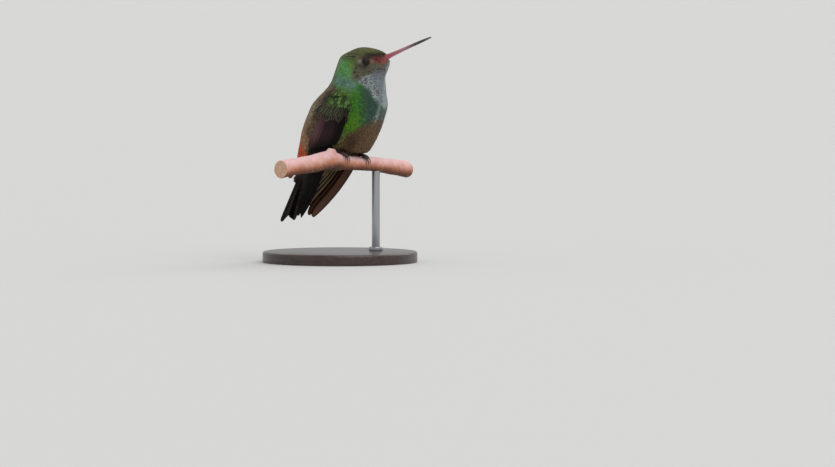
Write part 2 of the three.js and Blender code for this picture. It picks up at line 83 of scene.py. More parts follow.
# [distance from the crown, spine X, spine Z, to the front, to the back, to each side, taper of the face]
BODY = np.array([
    [0.0, 10.6, 80.6, 10.6, 7.7, 5.9, 0.45],  # crown
    [3.2, 10.4, 77.6, 10.6, 8.3, 7.0, 0.6],  # brow
    [6.2, 9.9, 74.7, 9.6, 9.3, 7.5, 0.66],  # eye
    [9.6, 9.0, 71.4, 9.4, 9.7, 7.8, 0.42],  # chin
    [14.0, 7.9, 67.15, 11.0, 10.0, 8.5, 0.12],  # neck
    [17.2, 6.9, 64.1, 12.9, 10.2, 9.3, 0.0],  # collar
    [20.6, 5.75, 60.9, 13.6, 11.2, 10.1, 0.0],  # shoulder
    [27.9, 2.85, 54.2, 13.9, 14.0, 11.4, 0.0],  # breast
    [35.4, -0.65, 47.6, 13.3, 14.0, 11.3, 0.0],  # belly
    [42.4, -4.45, 41.7, 10.6, 12.8, 10.2, 0.0],  # flank
    [49.0, -8.5, 36.5, 4.9, 10.2, 7.6, 0.0],  # vent
    [54.2, -11.9, 32.5, 2.9, 7.4, 5.6, 0.0],  # tail coverts
    [57.6, -14.3, 30.1, 1.6, 4.2, 4.2, 0.0],  # end of the tail coverts
])
BODY_END = BODY[-1, 0]
CROWN_DOME = 6.2  # the skull closes over this length of spine
CHART_END = 9  # down to here the coat is laid on a flat chart round the crown
QUARTER_DOME = CROWN_DOME * np.pi / 2

HEAD_TURN = np.radians(10)  # the head looks to the bird's left
NECK_X = 8.0
NECK = (61.0, 69.5)  # heights between which the turn grows

BILL_ROOT = np.array([15.2, 0.0, 75.3])
BILL_RISE = np.radians(25.2)
BILL_LENGTH = 22.6
BILL_DROOP = 0.45
BILL_SEAM = 0.1
# [share of the length, half width, half depth]
BILL = np.array([
    [0, 2.35, 1.45],
    [0.12, 1.75, 1.2],
    [0.28, 1.15, 0.82],
    [0.55, 0.85, 0.6],
    [0.85, 0.62, 0.48],
    [1, 0.28, 0.26],
])
BILL_LINE = np.array([np.cos(BILL_RISE), 0, np.sin(BILL_RISE)])
BILL_UP = np.array([-np.sin(BILL_RISE), 0, np.cos(BILL_RISE)])

PERCH_TURN = np.radians(75)
PERCH_AT = np.array([7.0, 0.0, 0.0])
ALONG = np.array([np.cos(PERCH_TURN), np.sin(PERCH_TURN), 0])
ACROSS = np.array([np.sin(PERCH_TURN), -np.cos(PERCH_TURN), 0])
# [distance along, height of the middle line, radius]
PERCH = np.array([
    [-43.4, 36.3, 3.4],
    [-34.4, 37.2, 3.2],
    [-26.1, 37.7, 3.35],
    [-17.8, 38.8, 3.45],
    [-13.0, 38.7, 3.05],
    [-7.3, 37.7, 2.75],
    [-0.3, 37.1, 2.65],
    [8.1, 36.6, 2.7],
    [22.8, 34.8, 3.05],
    [29.2, 33.9, 3.2],
])
KNOT = {"at": -14.6, "radius": 2.3, "out": 1.3}
SPUR = {"at": -37.9, "radius": 1.1, "out": 0.9}
PERCH_ROOM = 3.85  # the belly keeps this far from the branch's middle line
# corners of the belly's hollow round the branch: [degrees, times the room]; 0 is in front, 90 on top
HOLLOW = np.array([
    [14, 4], [90, 1], [115, 1], [140, 1], [160, 1], [180, 1], [255, 3.9], [315, 5.4], [374, 4],
])

FOOT_MIDDLE, FOOT_SPREAD = -3.2, 6.0
TOE_RADIUS, TOE_OFF, CLAW_LENGTH = 0.42, 0.12, 2.2
# name: starts at, ends at (degrees round the branch), drift along it
TOES = {
    "inner": (112, 42, 1.15),
    "middle": (112, 30, 0.0),
    "outer": (112, 40, -1.15),
    "hind": (100, 190, 0.25),
}

# The folded wing's edges: [drop from its top, back edge X, |Y|, front edge X, |Y|]
WING_TOP = 64.5
WING = np.array([
    [0, -0.4, 8.4, 8.4, 8.4],
    [9.5, -3.4, 10.2, 8.6, 10.6],
    [18, -6.4, 10.2, 5.6, 11.5],
    [23.5, -8.4, 9.2, 2.2, 11.2],
    [30.5, -10.6, 6.9, -1.2, 10.5],
    [37.5, -12.7, 4.9, -4.4, 8.6],
    [43.5, -14.4, 3.4, -8.6, 5.9],
    [48.5, -15.3, 2.6, -13.4, 3.0],
])
FAR_WING_AHEAD = 1.8
WING_REST = 0.35
ARM_TOP, ARM_DROP = 63.2, 9.8
PRIMARY_TIPS = np.array([
    [-14.5, 16.3], [-16.1, 17.0], [-15.6, 20.2], [-13.8, 24.3], [-12.8, 27.6],
    [-11.8, 30.5], [-10.7, 33.3], [-9.8, 35.7], [-8.9, 37.8], [-8.1, 39.8],
])

EYE_S, EYE_PHI = 6.05, 1.355
EYE_OPEN = (1.28, 0.84)
EYE_CORNERS = 2.2  # 2 would make the opening a plain ellipse
LID_REACH = 1.62

TAIL_ROOT = (-15.0, 34.9)
TAIL_LEAN = np.radians(20.3)
TAIL_PAIRS = 5
TAIL_ROOT_HALF, TAIL_TIP_HALF = 2.1, 5.3
TAIL_ROOT_INNER, TAIL_TIP_INNER = 0.3, 0.85
TAIL_SHORTEST, TAIL_LONGEST = 19.2, 21.1
TAIL_HALF_VANE, TAIL_ARCH = 2.0, 0.17

# ---- settings


def linear(red, green, blue):
    """The linear light of a display colour given as three numbers from 0 to 255."""
    c = np.array([red, green, blue]) / 255
    return tuple(np.where(c <= 0.04045, c / 12.92, ((c + 0.055) / 1.055) ** 2.4))


def colour(name, about, *display):
    """A colour setting, stored as linear light."""
    return bpy.props.FloatVectorProperty(
        name=name, description=about, subtype="COLOR", size=3, min=0, max=1, default=linear(*display)
    )


def length(name, about, millimetres):
    """A length setting, stored in metres."""
    return bpy.props.FloatProperty(
        name=name, description=about, unit="LENGTH", min=0, default=millimetres * MM
    )


class PlumageSettings(bpy.types.PropertyGroup):
    """Depth and size of the coat, and the colours of its parts."""

    face_depth: length("Face coat", "Depth of the coat on the face", 0.35)
    body_depth: length("Body coat", "Depth of the coat on the body", 0.8)
    crown: colour("Crown", "Olive-grey of the crown", 100, 100, 61)
    crown_dark: colour("Crown's rear", "Dusky brown of the back of the head", 74, 68, 56)
    brow: colour("Brow", "Dark line from the bill over the eye", 35, 28, 22)
    brow_pale: colour("Brow's middle", "Paler line between the dark arcs over the eye", 108, 98, 74)
    lores: colour("Lores", "Dark red skin and feathers round the gape", 109, 28, 31)
    gape: colour("Gape", "Pink skin where the bill meets the cheek", 160, 72, 80)
    chin: colour("Chin", "Grey under the gape", 118, 104, 110)
    cheek: colour("Cheek", "Brownish grey ear coverts", 98, 100, 80)
    pale_spot: colour("Pale spot", "Pale spot behind the eye", 166, 154, 146)
    olive: colour("Temple", "Olive-green behind the eye", 112, 133, 45)
    nape: colour("Nape", "Green of the side of the neck", 104, 166, 98)
    hind: colour("Hind neck", "Grey-brown down the middle of the nape", 122, 114, 104)
    collar: colour("Collar", "Teal-grey band below the nape", 107, 146, 130)
    throat: colour("Throat", "Bluish grey of the throat feathers", 107, 114, 125)
    # Whitish edges of the throat feathers, also laid along the throat's front as painted rim light.
    throat_edges_and_rim_light: colour("Throat edges", "Whitish edges of the throat feathers", 174, 184, 182)
    # Blackish spots are real markings; the same dark laid in the gap between back and wing is painted shade.
    dark_spots_and_gap_shade: colour("Dark spots", "Blackish spots and gaps between feathers", 34, 32, 28)
    breast: colour("Breast", "Dark teal-grey of the upper breast", 60, 87, 73)
    green: colour("Breast green", "Glittering green of the breast's sides", 67, 127, 45)
    yellow_green: colour("Lower green", "Yellower green above the flanks", 94, 133, 35)
    shoulder: colour("Shoulder", "Mottled olive-green round the wing's bend", 91, 132, 63)
    belly: colour("Belly", "Brown of the belly", 86, 65, 42)
    belly_dark: colour("Belly shade", "Darker brown under the green", 66, 46, 30)
    belly_pale: colour("Belly middle", "Paler middle of the belly", 113, 89, 63)
    belly_grey: colour("Lower belly", "Greyish feathers over the legs", 132, 117, 98)
    flank: colour("Flank", "Olive flanks", 127, 141, 77)
    back: colour("Back", "Olive-brown of the upper back", 98, 73, 56)
    back_edge: colour("Back edges", "Grey-buff edges and the paler lower back", 165, 150, 116)
    rump: colour("Rump", "Rosy brown of the rump", 198, 135, 94)
    rufous: colour("Rufous", "Orange upper tail coverts", 217, 79, 36)
    covert: colour("Tail coverts", "Dark chestnut of the longest tail coverts", 30, 18, 15)


class FlightSettings(bpy.types.PropertyGroup):
    """Colours of the wings and tail, and the thickness of a feather's blade."""

    blade: length("Blade", "Thickness of a flight feather at its shaft", 0.34)
    dusky: colour("Primaries", "Near-black brown of the primaries", 13, 9, 8)
    dusky_edge: colour("Primary edges", "Slightly paler edges of the primaries", 47, 36, 36)
    fan: colour("Secondaries", "Purple-brown of the secondaries", 48, 34, 38)
    # Foremost secondaries: dusky feathers deepened to near-black as painted shade along the wing's front
    # edge.
    fan_front_and_shade: colour("Front secondaries", "Near-black of the foremost secondaries", 18, 13, 13)
    fan_back: colour("Back secondaries", "Mauve-brown of the innermost feathers", 90, 62, 65)
    fan_edge: colour("Secondary edges", "Purple-grey edges of the secondaries", 88, 73, 75)
    under: colour("Under wing", "Dark brown of the wing's underside", 72, 40, 25)
    under_edge: colour("Under leading edge", "Dark leading edge under the wing", 56, 50, 42)
    under_strip: colour("Under strip", "Paler strip behind the leading edge", 102, 73, 60)
    # Pale inner primaries underneath, brightened as painted light where the far wing lies in shadow.
    under_pale_and_lit: colour("Under rear", "Pale brown of the inner primaries underneath", 168, 148, 120)
    covert: colour("Wing coverts", "Dark olive wing coverts", 35, 32, 22)
    covert_edge: colour("Covert edges", "Pale olive edges of the wing coverts", 186, 180, 150)
    # The tail's real chestnut is deepened almost to black as painted shade; the blackish rims are real.
    tail: colour("Tail", "Dark chestnut of the tail", 20, 7, 3)
    tail_edge: colour("Tail edges", "Blackish rims of the tail feathers", 7, 5, 4)


class BareSettings(bpy.types.PropertyGroup):
    """Colours of bill, eyes and feet."""

    bill_base: colour("Bill base", "Red at the base of the bill", 158, 52, 58)
    bill_middle: colour("Bill middle", "Pinkish mauve of the middle of the bill", 168, 118, 130)
    bill_tip: colour("Bill tip", "Blackish tip of the bill", 38, 28, 32)
    iris: colour("Iris", "Dark brown iris", 35, 21, 13)
    lid: colour("Eyelid", "Dusky skin of the eyelids", 42, 36, 31)
    toe: colour("Toes", "Dark red-brown skin of the feet", 66, 38, 36)
    claw: colour("Claws", "Blackish horn of the claws", 26, 20, 18)
    skin: colour("Skin", "Dusky skin under the coat", 60, 48, 42)


class DisplaySettings(bpy.types.PropertyGroup):
    """Colours of the branch, the stand and the floor, and the camera's place."""

    bark: colour("Bark", "Pinkish brown bark", 190, 124, 96)
    # Pale bark of the pores, and of the upper side where it is partly weathering and partly painted light.
    bark_pale_and_lit: colour("Bark light", "Pale mauve-pink weathered bark on top", 224, 186, 186)
    # Dark of the cracks, and of the underside where it is painted shade.
    bark_cracks_and_shade: colour("Bark dark", "Dark cracks and underside", 66, 40, 30)
    cut_wood: colour("Cut wood", "Pale wood of the cut ends", 200, 176, 150)
    stand_wood: colour("Base", "Dark stained wood of the base", 58, 42, 34)
    stand_steel: colour("Rod", "Brushed steel of the rod", 176, 178, 180)
    floor: colour("Floor", "Pale floor", 203, 202, 200)
    azimuth: bpy.props.FloatProperty(
        name="Azimuth", description="Camera's turn round the bird", default=np.radians(25), subtype="ANGLE"
    )
    elevation: bpy.props.FloatProperty(
        name="Elevation", description="Camera's height angle", default=np.radians(3), subtype="ANGLE"
    )
    distance: length("Distance", "From the camera to the bird", 3000)
    view_width: length("View width", "Width of the view at the bird", 312.7)
    aside: length("Aside", "How far the view's middle lies to the right of the stand", 29.03)
    above: length("Above", "How far the view's middle lies above the floor", 10.67)


# ---- small functions


def smooth(x, low, high):
    """0 below low and 1 above high, with an S-curve between them."""
    u = np.clip((x - low) / (high - low), 0, 1)
    return u * u * (3 - 2 * u)


def fade(x, low, high):
    """1 below low and 0 above high, with an S-curve between them."""
    return 1 - smooth(x, low, high)


def near(x, centre, width):
    """A bell: 1 at the centre, dying away over the width."""
    return np.exp(-(((x - centre) / width) ** 2))


def mix(a, b, amount):
    """Rows of a moved towards b by an amount for each row, where 1 is b itself."""
    amount = np.asarray(amount)[..., None]
    return a + (np.asarray(b) - a) * amount


def unit(v):
    """Vectors divided by their own length."""
    return v / np.maximum(np.linalg.norm(v, axis=-1, keepdims=True), 1e-12)


def full_turn(count):
    """Even angles round a circle, from 0."""
    return np.linspace(0, 2 * np.pi, count, endpoint=False)


def dot(a, b):
    """The sum of the products of two vectors' parts, kept as a column."""
    return np.sum(a * b, axis=-1, keepdims=True)


def places(x, y, z):
    """Three coordinates, stretched to one shape, as places."""
    return np.stack(np.broadcast_arrays(x, y, z), axis=-1).astype(float)


def through(table, at):
    """Rows of a table at given distances: a cubic between knots, with slopes taken across each knot."""
    knots, rows = table[:, 0], table[:, 1:]
    at = np.clip(at, knots[0], knots[-1])
    i = np.clip(np.searchsorted(knots, at) - 1, 0, len(knots) - 2)
    ahead, behind = np.append(knots[1:], knots[-1]), np.insert(knots[:-1], 0, knots[0])
    rise = np.vstack([rows[1:], rows[-1:]]) - np.vstack([rows[:1], rows[:-1]])
    slope = rise / (ahead - behind)[:, None]
    span = knots[i + 1] - knots[i]
    u = ((at - knots[i]) / span)[..., None]
    span = span[..., None]
    a, b = rows[i], rows[i + 1]
    bend = slope[i] * span * u * (1 - u) ** 2 - slope[i + 1] * span * u**2 * (1 - u)
    return a + (b - a) * u * u * (3 - 2 * u) + bend


# ---- mesh from numpy


def closed(rings, ends):
    """Closed tubes from rings (n, rows, columns, 3) and end points (n, 2, 3), with all faces outwards.

    Neighbouring rings are joined by quads and each end ring by a fan of triangles to its end point. A tube
    whose enclosed volume comes out negative has its faces turned round.
    """
    n, rows, columns = rings.shape[:3]
    each = rows * columns + 2
    grid = np.arange(rows * columns).reshape(rows, columns)
    beside = np.roll(grid, -1, axis=1)
    quads = np.stack([grid[:-1], beside[:-1], beside[1:], grid[1:]], -1).reshape(-1, 4)
    first = np.stack([np.full(columns, each - 2), beside[0], grid[0]], -1)
    last = np.stack([np.full(columns, each - 1), grid[-1], beside[-1]], -1)
    tris = np.vstack([first, last])
    points = np.concatenate([rings.reshape(n, -1, 3), ends], axis=1)
    local = points - points.mean(axis=1, keepdims=True)
    fans = np.vstack([quads[:, :3], quads[:, [0, 2, 3]], tris])
    a, b, c = (local[:, fans[:, k]] for k in range(3))
    inside_out = np.einsum("nij,nij->n", a, np.cross(b, c)) < 0
    offset = np.arange(n)[:, None, None] * each
    quads = np.where(inside_out[:, None, None], quads[:, ::-1], quads) + offset
    tris = np.where(inside_out[:, None, None], tris[:, ::-1], tris) + offset
    return points.reshape(-1, 3), quads.reshape(-1, 4), tris.reshape(-1, 3)


def tube(rings):
    """One closed tube whose ends close on the middle of its first and last ring."""
    ends = np.stack([rings[0].mean(axis=0), rings[-1].mean(axis=0)])
    return closed(rings[None], ends[None])


def joined(shapes):
    """Several (points, quads, tris) as one."""
    points, quads, tris, start = [], [], [], 0
    for p, q, t in shapes:
        points.append(p)
        quads.append(q + start)
        tris.append(t + start)
        start += len(p)
    return np.vstack(points), np.vstack(quads), np.vstack(tris)


def put(name, shape, material, nodes=(), colours=None, maps=None):
    """Puts a shape into a mesh object in metres and hands the piece to the frame.

    Colours and maps are given for each point. Quads come first and triangles after them, and each starts
    where the one before has ended.
    """
    points, quads, tris = shape
    mesh = bpy.data.meshes.new(name)
    mesh.vertices.add(len(points))
    mesh.vertices.foreach_set("co", (points * MM).astype(np.float32).ravel())
    corners = np.concatenate([quads.ravel(), tris.ravel()]).astype(np.int32)
    starts = np.concatenate([np.arange(len(quads)) * 4, len(quads) * 4 + np.arange(len(tris)) * 3])
    mesh.loops.add(len(corners))
    mesh.loops.foreach_set("vertex_index", corners)
    mesh.polygons.add(len(starts))
    mesh.polygons.foreach_set("loop_start", starts.astype(np.int32))
    mesh.polygons.foreach_set("use_smooth", np.ones(len(starts), bool))
    for map_name, uv in (maps or {}).items():
        layer = mesh.uv_layers.new(name=map_name)
        layer.data.foreach_set("uv", uv[corners].astype(np.float32).ravel())
    for attribute, values in (colours or {}).items():
        values = np.concatenate([values, np.ones((len(values), 4 - values.shape[1]))], axis=1)
        layer = mesh.color_attributes.new(name=attribute, type="FLOAT_COLOR", domain="POINT")
        layer.data.foreach_set("color", values.astype(np.float32).ravel())
    mesh.update(calc_edges=True)
    mesh.validate()
    mesh.materials.append(material)
    piece = bpy.data.objects.new(name, mesh)
    bpy.context.scene.collection.objects.link(piece)
    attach(piece, "root")
    if nodes:
        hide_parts(*nodes)


# ---- the branch


def by_perch(t, out, turn):
    """Places t along the branch and out from its middle line, at a turn in degrees: 0 in front, 90 on top."""
    turn = np.radians(turn)
    middle = PERCH_AT + ALONG * np.asarray(t, float)[..., None]
    height = through(PERCH, t)[..., 0]
    return middle + ACROSS * (out * np.cos(turn))[..., None] + UP * (height + out * np.sin(turn))[..., None]


def in_hollow(p):
    """Whether places lie in the hollow that the belly leaves round the branch, a prism with straight walls.

    A wall runs straight between two corners, so its distance from the branch's middle line, in the direction
    of a place, comes from the sines of the angles to both.
    """
    t, ahead = (p - PERCH_AT) @ ALONG, (p - PERCH_AT) @ ACROSS
    rise = p[..., 2] - through(PERCH, t)[..., 0]
    first = HOLLOW[0, 0]
    turn = np.mod(np.degrees(np.arctan2(rise, ahead)) - first, 360) + first
    i = np.clip(np.searchsorted(HOLLOW[:, 0], turn) - 1, 0, len(HOLLOW) - 2)
    (a, b), (far_a, far_b) = ((column[i], column[i + 1]) for column in HOLLOW.T)
    wall = far_a * far_b * np.sin(np.radians(b - a))
    wall /= far_a * np.sin(np.radians(turn - a)) + far_b * np.sin(np.radians(b - turn))
    room = PERCH_ROOM + KNOT["out"] * np.interp(t, [-12, -6], [1, 0])
    return (np.hypot(ahead, rise) < wall * room) & (t > -30) & (t < 20)


# ---- the body


def turn_head(p):
    """Turns places about the upright line through the neck, by an angle that dies away down the throat."""
    angle = HEAD_TURN * smooth(p[..., 2], *NECK)
    dx, dy = p[..., 0] - NECK_X, p[..., 1]
    return places(
        NECK_X + dx * np.cos(angle) - dy * np.sin(angle), dx * np.sin(angle) + dy * np.cos(angle), p[..., 2]
    )


def spine(s):
    """The spine's place and forward normal at a distance from the crown, and the body's reach from it."""
    held = np.clip(s, 0, BODY_END)
    x, z, front, back, side, taper = np.moveaxis(through(BODY, held), -1, 0)
    x0, z0 = np.moveaxis(through(BODY, held - 0.5)[..., :2], -1, 0)
    x1, z1 = np.moveaxis(through(BODY, held + 0.5)[..., :2], -1, 0)
    run = np.hypot(x1 - x0, z1 - z0)
    dx, dz = (x1 - x0) / run, (z1 - z0) / run
    over = np.maximum(s - BODY_END, 0)
    dome = np.sqrt(np.clip(1 - np.clip(1 - s / CROWN_DOME, 0, 1) ** 2, 0, 1))
    middle = places(x + dx * over, 0, z + dz * over)
    return middle, places(-dz, 0, dx), front * dome, back * dome, side * dome, taper


def egg(s, phi):
    """Middle of the body and the reach from it to its surface, at a turn from the front.

    Front and back are halves of two ellipses. The front is narrowed by the taper times the turn's squared
    cosine.
    """
    middle, normal, front, back, side, taper = spine(s)
    c = np.cos(phi)
    out = np.where(c > 0, front, back) * c
    wide = side * np.sin(phi) * (1 - taper * np.maximum(c, 0) ** 2)
    reach = normal * out[..., None] + places(0, 1, 0) * wide[..., None]
    return middle, reach


def hollow_share():
    """A table over s and phi of the share of its reach that the body keeps, to stay out of the hollow.

    Steps outwards along each ray from the spine stop before the first one that is in the hollow. The table is
    then blurred, and nowhere made larger than it was.
    """
    s, phi = np.linspace(0, BODY_END, 161)[:, None], np.linspace(-np.pi, np.pi, 121)[None]
    steps = np.linspace(0.1, 1, 61)
    middle, reach = egg(s + 0 * phi, phi + 0 * s)
    blocked = np.logical_or.accumulate(
        in_hollow(middle[..., None, :] + reach[..., None, :] * steps[:, None]), axis=-1
    )
    free = np.clip(np.sum(~blocked, axis=-1) - 1, 0, len(steps) - 1)
    share = keep = steps[free]
    for _ in range(3):
        share = (np.roll(share, 1, 1) + share + np.roll(share, -1, 1)) / 3
        share[1:-1] = (share[:-2] + share[1:-1] + share[2:]) / 3
    return np.minimum(share, keep)


SHARE = hollow_share()


def kept(s, phi):
    """The hollow's table read between its entries."""
    row = np.clip(s / BODY_END, 0, 1) * (SHARE.shape[0] - 1)
    column = np.mod(phi + np.pi, 2 * np.pi) / (2 * np.pi) * (SHARE.shape[1] - 1)
    i = np.minimum(row.astype(int), SHARE.shape[0] - 2)
    j = np.minimum(column.astype(int), SHARE.shape[1] - 2)
    u, v = row - i, column - j
    upper = SHARE[i, j] * (1 - v) + SHARE[i, j + 1] * v
    lower = SHARE[i + 1, j] * (1 - v) + SHARE[i + 1, j + 1] * v
    return upper * (1 - u) + lower * u


def straight_body(s, phi):
    """The outline of the coat before the head is turned."""
    middle, reach = egg(s, phi)
    return middle + reach * kept(s, phi)[..., None]


def on_crown(a, b):
    """The outline of the coat on a flat chart round the crown, whose distances go over the dome."""
    far = np.hypot(a, b)
    dome = CROWN_DOME * (1 - np.cos(np.minimum(far, QUARTER_DOME) / CROWN_DOME))
    s = np.where(far < QUARTER_DOME, dome, CROWN_DOME + far - QUARTER_DOME)
    return turn_head(straight_body(s, np.arctan2(b, a)))


def on_body(s, phi):
    """The outline of the coat, with the head turned."""
    return turn_head(straight_body(s, phi))


def crown_chart(s, phi):
    """Where a place of the body lies on the crown's flat chart."""
    dome = CROWN_DOME * np.arccos(np.clip(1 - s / CROWN_DOME, -1, 1))
    far = np.where(s < CROWN_DOME, dome, QUARTER_DOME + s - CROWN_DOME)
    return far * np.cos(phi), far * np.sin(phi)


def body_half_width(x, z):
    """Half the untwisted body's width at places in the X-Z plane, or 0 outside it.

    The ring of the body that passes through a place is found by halving.
    """
    low, high = np.zeros_like(x), np.full_like(x, BODY_END)
    for _ in range(22):
        halfway = (low + high) / 2
        middle, normal = spine(halfway)[:2]
        beyond = (x - middle[..., 0]) * normal[..., 2] - (z - middle[..., 2]) * normal[..., 0] > 0
        low, high = np.where(beyond, halfway, low), np.where(beyond, high, halfway)
    middle, normal, front, back, side, _ = spine(low)
    out = (x - middle[..., 0]) * normal[..., 0] + (z - middle[..., 2]) * normal[..., 2]
    c = out / np.where(out > 0, front, back)
    return side * np.sqrt(np.clip(1 - c * c, 0, 1))


def slopes(surface, a, b, outward):
    """Two slopes and the outward normal of a surface of two parameters, by small steps to both sides."""
    step = 0.02
    by_a = (surface(a + step, b) - surface(a - step, b)) / (2 * step)
    by_b = (surface(a, b + step) - surface(a, b - step)) / (2 * step)
    normal = unit(np.cross(by_a, by_b))
    return by_a, by_b, normal * np.sign(dot(normal, outward))


# ---- the feathers

VANE_ROWS = np.array([0.08, 0.28, 0.52, 0.75, 0.92])
VANE_COLUMNS = np.array([-1, -0.5, 0, 0.5, 1, 0])  # five over the vane and one under its shaft
UNDER = np.array([0, 0, 0, 0, 0, 1])


def vanes(surface, a, b, outward, flow, long, half, root_depth, tip_lift, camber=0.09, thick=0.04):
    """Small feathers laid on a surface, as closed thin vanes.

    Each vane runs from its root along the flow. Its half width is the half circle of the warped length
    2 t^1.3 - 1, so it is narrow at the root and round at the tip. It rises in a straight line from the root's
    depth to the tip's lift, and is arched across its width.
    """
    by_a, by_b, normal = slopes(surface, a, b, outward)
    flow = unit(flow - normal * dot(flow, normal))
    aside = np.cross(normal, flow)
    e, f, g = dot(by_a, by_a), dot(by_a, by_b), dot(by_b, by_b)
    gain = e * g - f * f

    def steps(direction):
        """The steps of both parameters that move a place one millimetre in a direction."""
        da, db = dot(by_a, direction), dot(by_b, direction)
        return (da * g - db * f) / gain, (db * e - da * f) / gain

    t = np.append(np.repeat(VANE_ROWS, 6), [0, 1])
    v = np.append(np.tile(VANE_COLUMNS, 5), [0, 0])
    under = np.append(np.tile(UNDER, 5), [0, 0])
    wide = np.sqrt(np.clip(1 - (2 * t**1.3 - 1) ** 2, 0, 1))
    along = long[:, None] * t
    across = half[:, None] * wide * v
    (flow_a, flow_b), (side_a, side_b) = steps(flow), steps(aside)
    at_a = a[:, None] + flow_a * along + side_a * across
    at_b = b[:, None] + flow_b * along + side_b * across
    spots = surface(at_a, at_b)
    height = -root_depth[:, None] * (1 - t) + tip_lift[:, None] * t
    height = height + camber * half[:, None] * wide * (1 - v * v) - thick * under
    points = spots + normal[:, None] * height[..., None]
    rings, ends = points[:, :30].reshape(-1, 5, 6, 3), points[:, 30:]
    return closed(rings, ends), np.stack([(v + 1) / 2, t], -1)


def vane_maps(vane, roots, count):
    """The map along each vane, and the bake's map: a small patch at each root on the unwrapped skin."""
    patch = roots[:, None] + (vane - 0.5) * 0.003
    return {"OFBake": patch.reshape(-1, 2), "Vane": np.tile(vane, (count, 1))}


def vane_colours(tint, edge, gloss):
    """Colour with gloss, and edge colour, repeated for each point of each vane."""
    per = len(VANE_ROWS) * len(VANE_COLUMNS) + 2
    return {
        "Tint": np.repeat(np.hstack([tint, gloss[:, None]]), per, axis=0),
        "Edge": np.repeat(edge, per, axis=0),
    }


def spread_roots(density, count, s_range, seed):
    """Even places over the body: golden-angle turns, warped so that their number follows the density.

    The surface's area times the density is summed along the spine and round each ring, and both sums are
    read backwards.
    """
    rng = np.random.default_rng(seed)
    s, phi = np.linspace(*s_range, 121)[:, None], np.linspace(-np.pi, np.pi, 145)[None]
    s, phi = s + 0 * phi, phi + 0 * s
    p = straight_body(s, phi)
    area = np.linalg.norm(np.cross(np.gradient(p, axis=0), np.gradient(p, axis=1)), axis=-1)
    weight = area * density(s, phi)
    along = np.cumsum(weight.sum(axis=1))
    at = (np.arange(count) + 0.5) / count * along[-1]
    s_at = np.interp(at, along, s[:, 0])
    round_sum = np.cumsum(weight, axis=1) / weight.sum(axis=1, keepdims=True)
    row = np.interp(s_at, s[:, 0], np.arange(len(s)))
    share = np.mod(np.arange(count) * GOLDEN_TURN / (2 * np.pi), 1)
    low = row.astype(int)
    curves = round_sum[low]
    column = np.sum(curves < share[:, None], axis=1)
    before = curves[np.arange(count), np.maximum(column - 1, 0)] * (column > 0)
    after = curves[np.arange(count), np.minimum(column, 144)]
    column = np.clip(column - 1 + (share - before) / np.maximum(after - before, 1e-9), 0, 144)
    phi_at = np.interp(column, np.arange(145), phi[0])
    gap = 1 / np.sqrt(np.maximum(density(s_at, phi_at), 1e-6))
    return s_at + rng.normal(0, 0.12, count) * gap, phi_at + rng.normal(0, 0.12, count) * gap / 9


# ---- lie of the plumage


def eye(side):
    """Middle and radius of an eyeball, from the frame."""
    low, high = (np.array(corner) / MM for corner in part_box(f"eye_{side}"))
    return (low + high) / 2, float(np.mean(high - low)) / 2


def bill_root():
    """A place inside the head, from which the feathers of the face spread."""
    return turn_head(BILL_ROOT - [1.2, 0, 0])


def from_bill(s, phi):
    """How far a place of the untwisted head is from the root of the bill."""
    return np.linalg.norm(straight_body(s, phi) - BILL_ROOT, axis=-1)


def vane_length(s, phi):
    """Feather length: smallest at the bill, growing down the body to the tail coverts."""
    stops, sizes = [0, 9, 14, 20, 28, 36, 44, 50, 54, 58], [1.5, 1.6, 1.95, 2.4, 2.8, 3.2, 3.5, 3.9, 4.3, 4.0]
    return np.minimum(np.interp(s, stops, sizes), 0.75 + 0.09 * np.maximum(from_bill(s, phi) - 2, 0))


def vane_half(s, phi):
    """Half the feather's width: round scales above, narrower and looser towards the vent."""
    return vane_length(s, phi) * np.interp(s, [0, 14, 24, 34, 44, 56], [0.29, 0.33, 0.34, 0.27, 0.26, 0.25])


def coat_density(s, phi):
    """Feathers in a square millimetre so that each place is covered about four times."""
    return 4 / (0.75 * 2 * vane_length(s, phi) * vane_half(s, phi))


def coat_depth(s, phi, plumage):
    """Depth of the coat: from the face's to the body's by an S-curve, and thinner at the bill."""
    face, body = plumage.face_depth / MM, plumage.body_depth / MM
    depth = face + (body - face) * smooth(s, 8, 20)
    return depth * (0.45 + 0.55 * smooth(from_bill(s, phi), 2, 5))


def limit(turn, *stops):
    """Where a marking ends along the spine, read from (degrees from the front, distance from the crown)."""
    return np.interp(turn, *zip(*stops))


def mottle(s, phi, grain):
    """An uneven pattern between 0 and 1: a wave down the body times one round it, each bent by the other."""
    round_it = phi * np.clip(0.9 * s, 5, 10) * grain
    down = s * grain + 1.7 * np.sin(0.55 * round_it)
    return 0.5 + 0.5 * np.sin(down) * np.sin(round_it + 1.4 * np.sin(0.8 * s * grain))


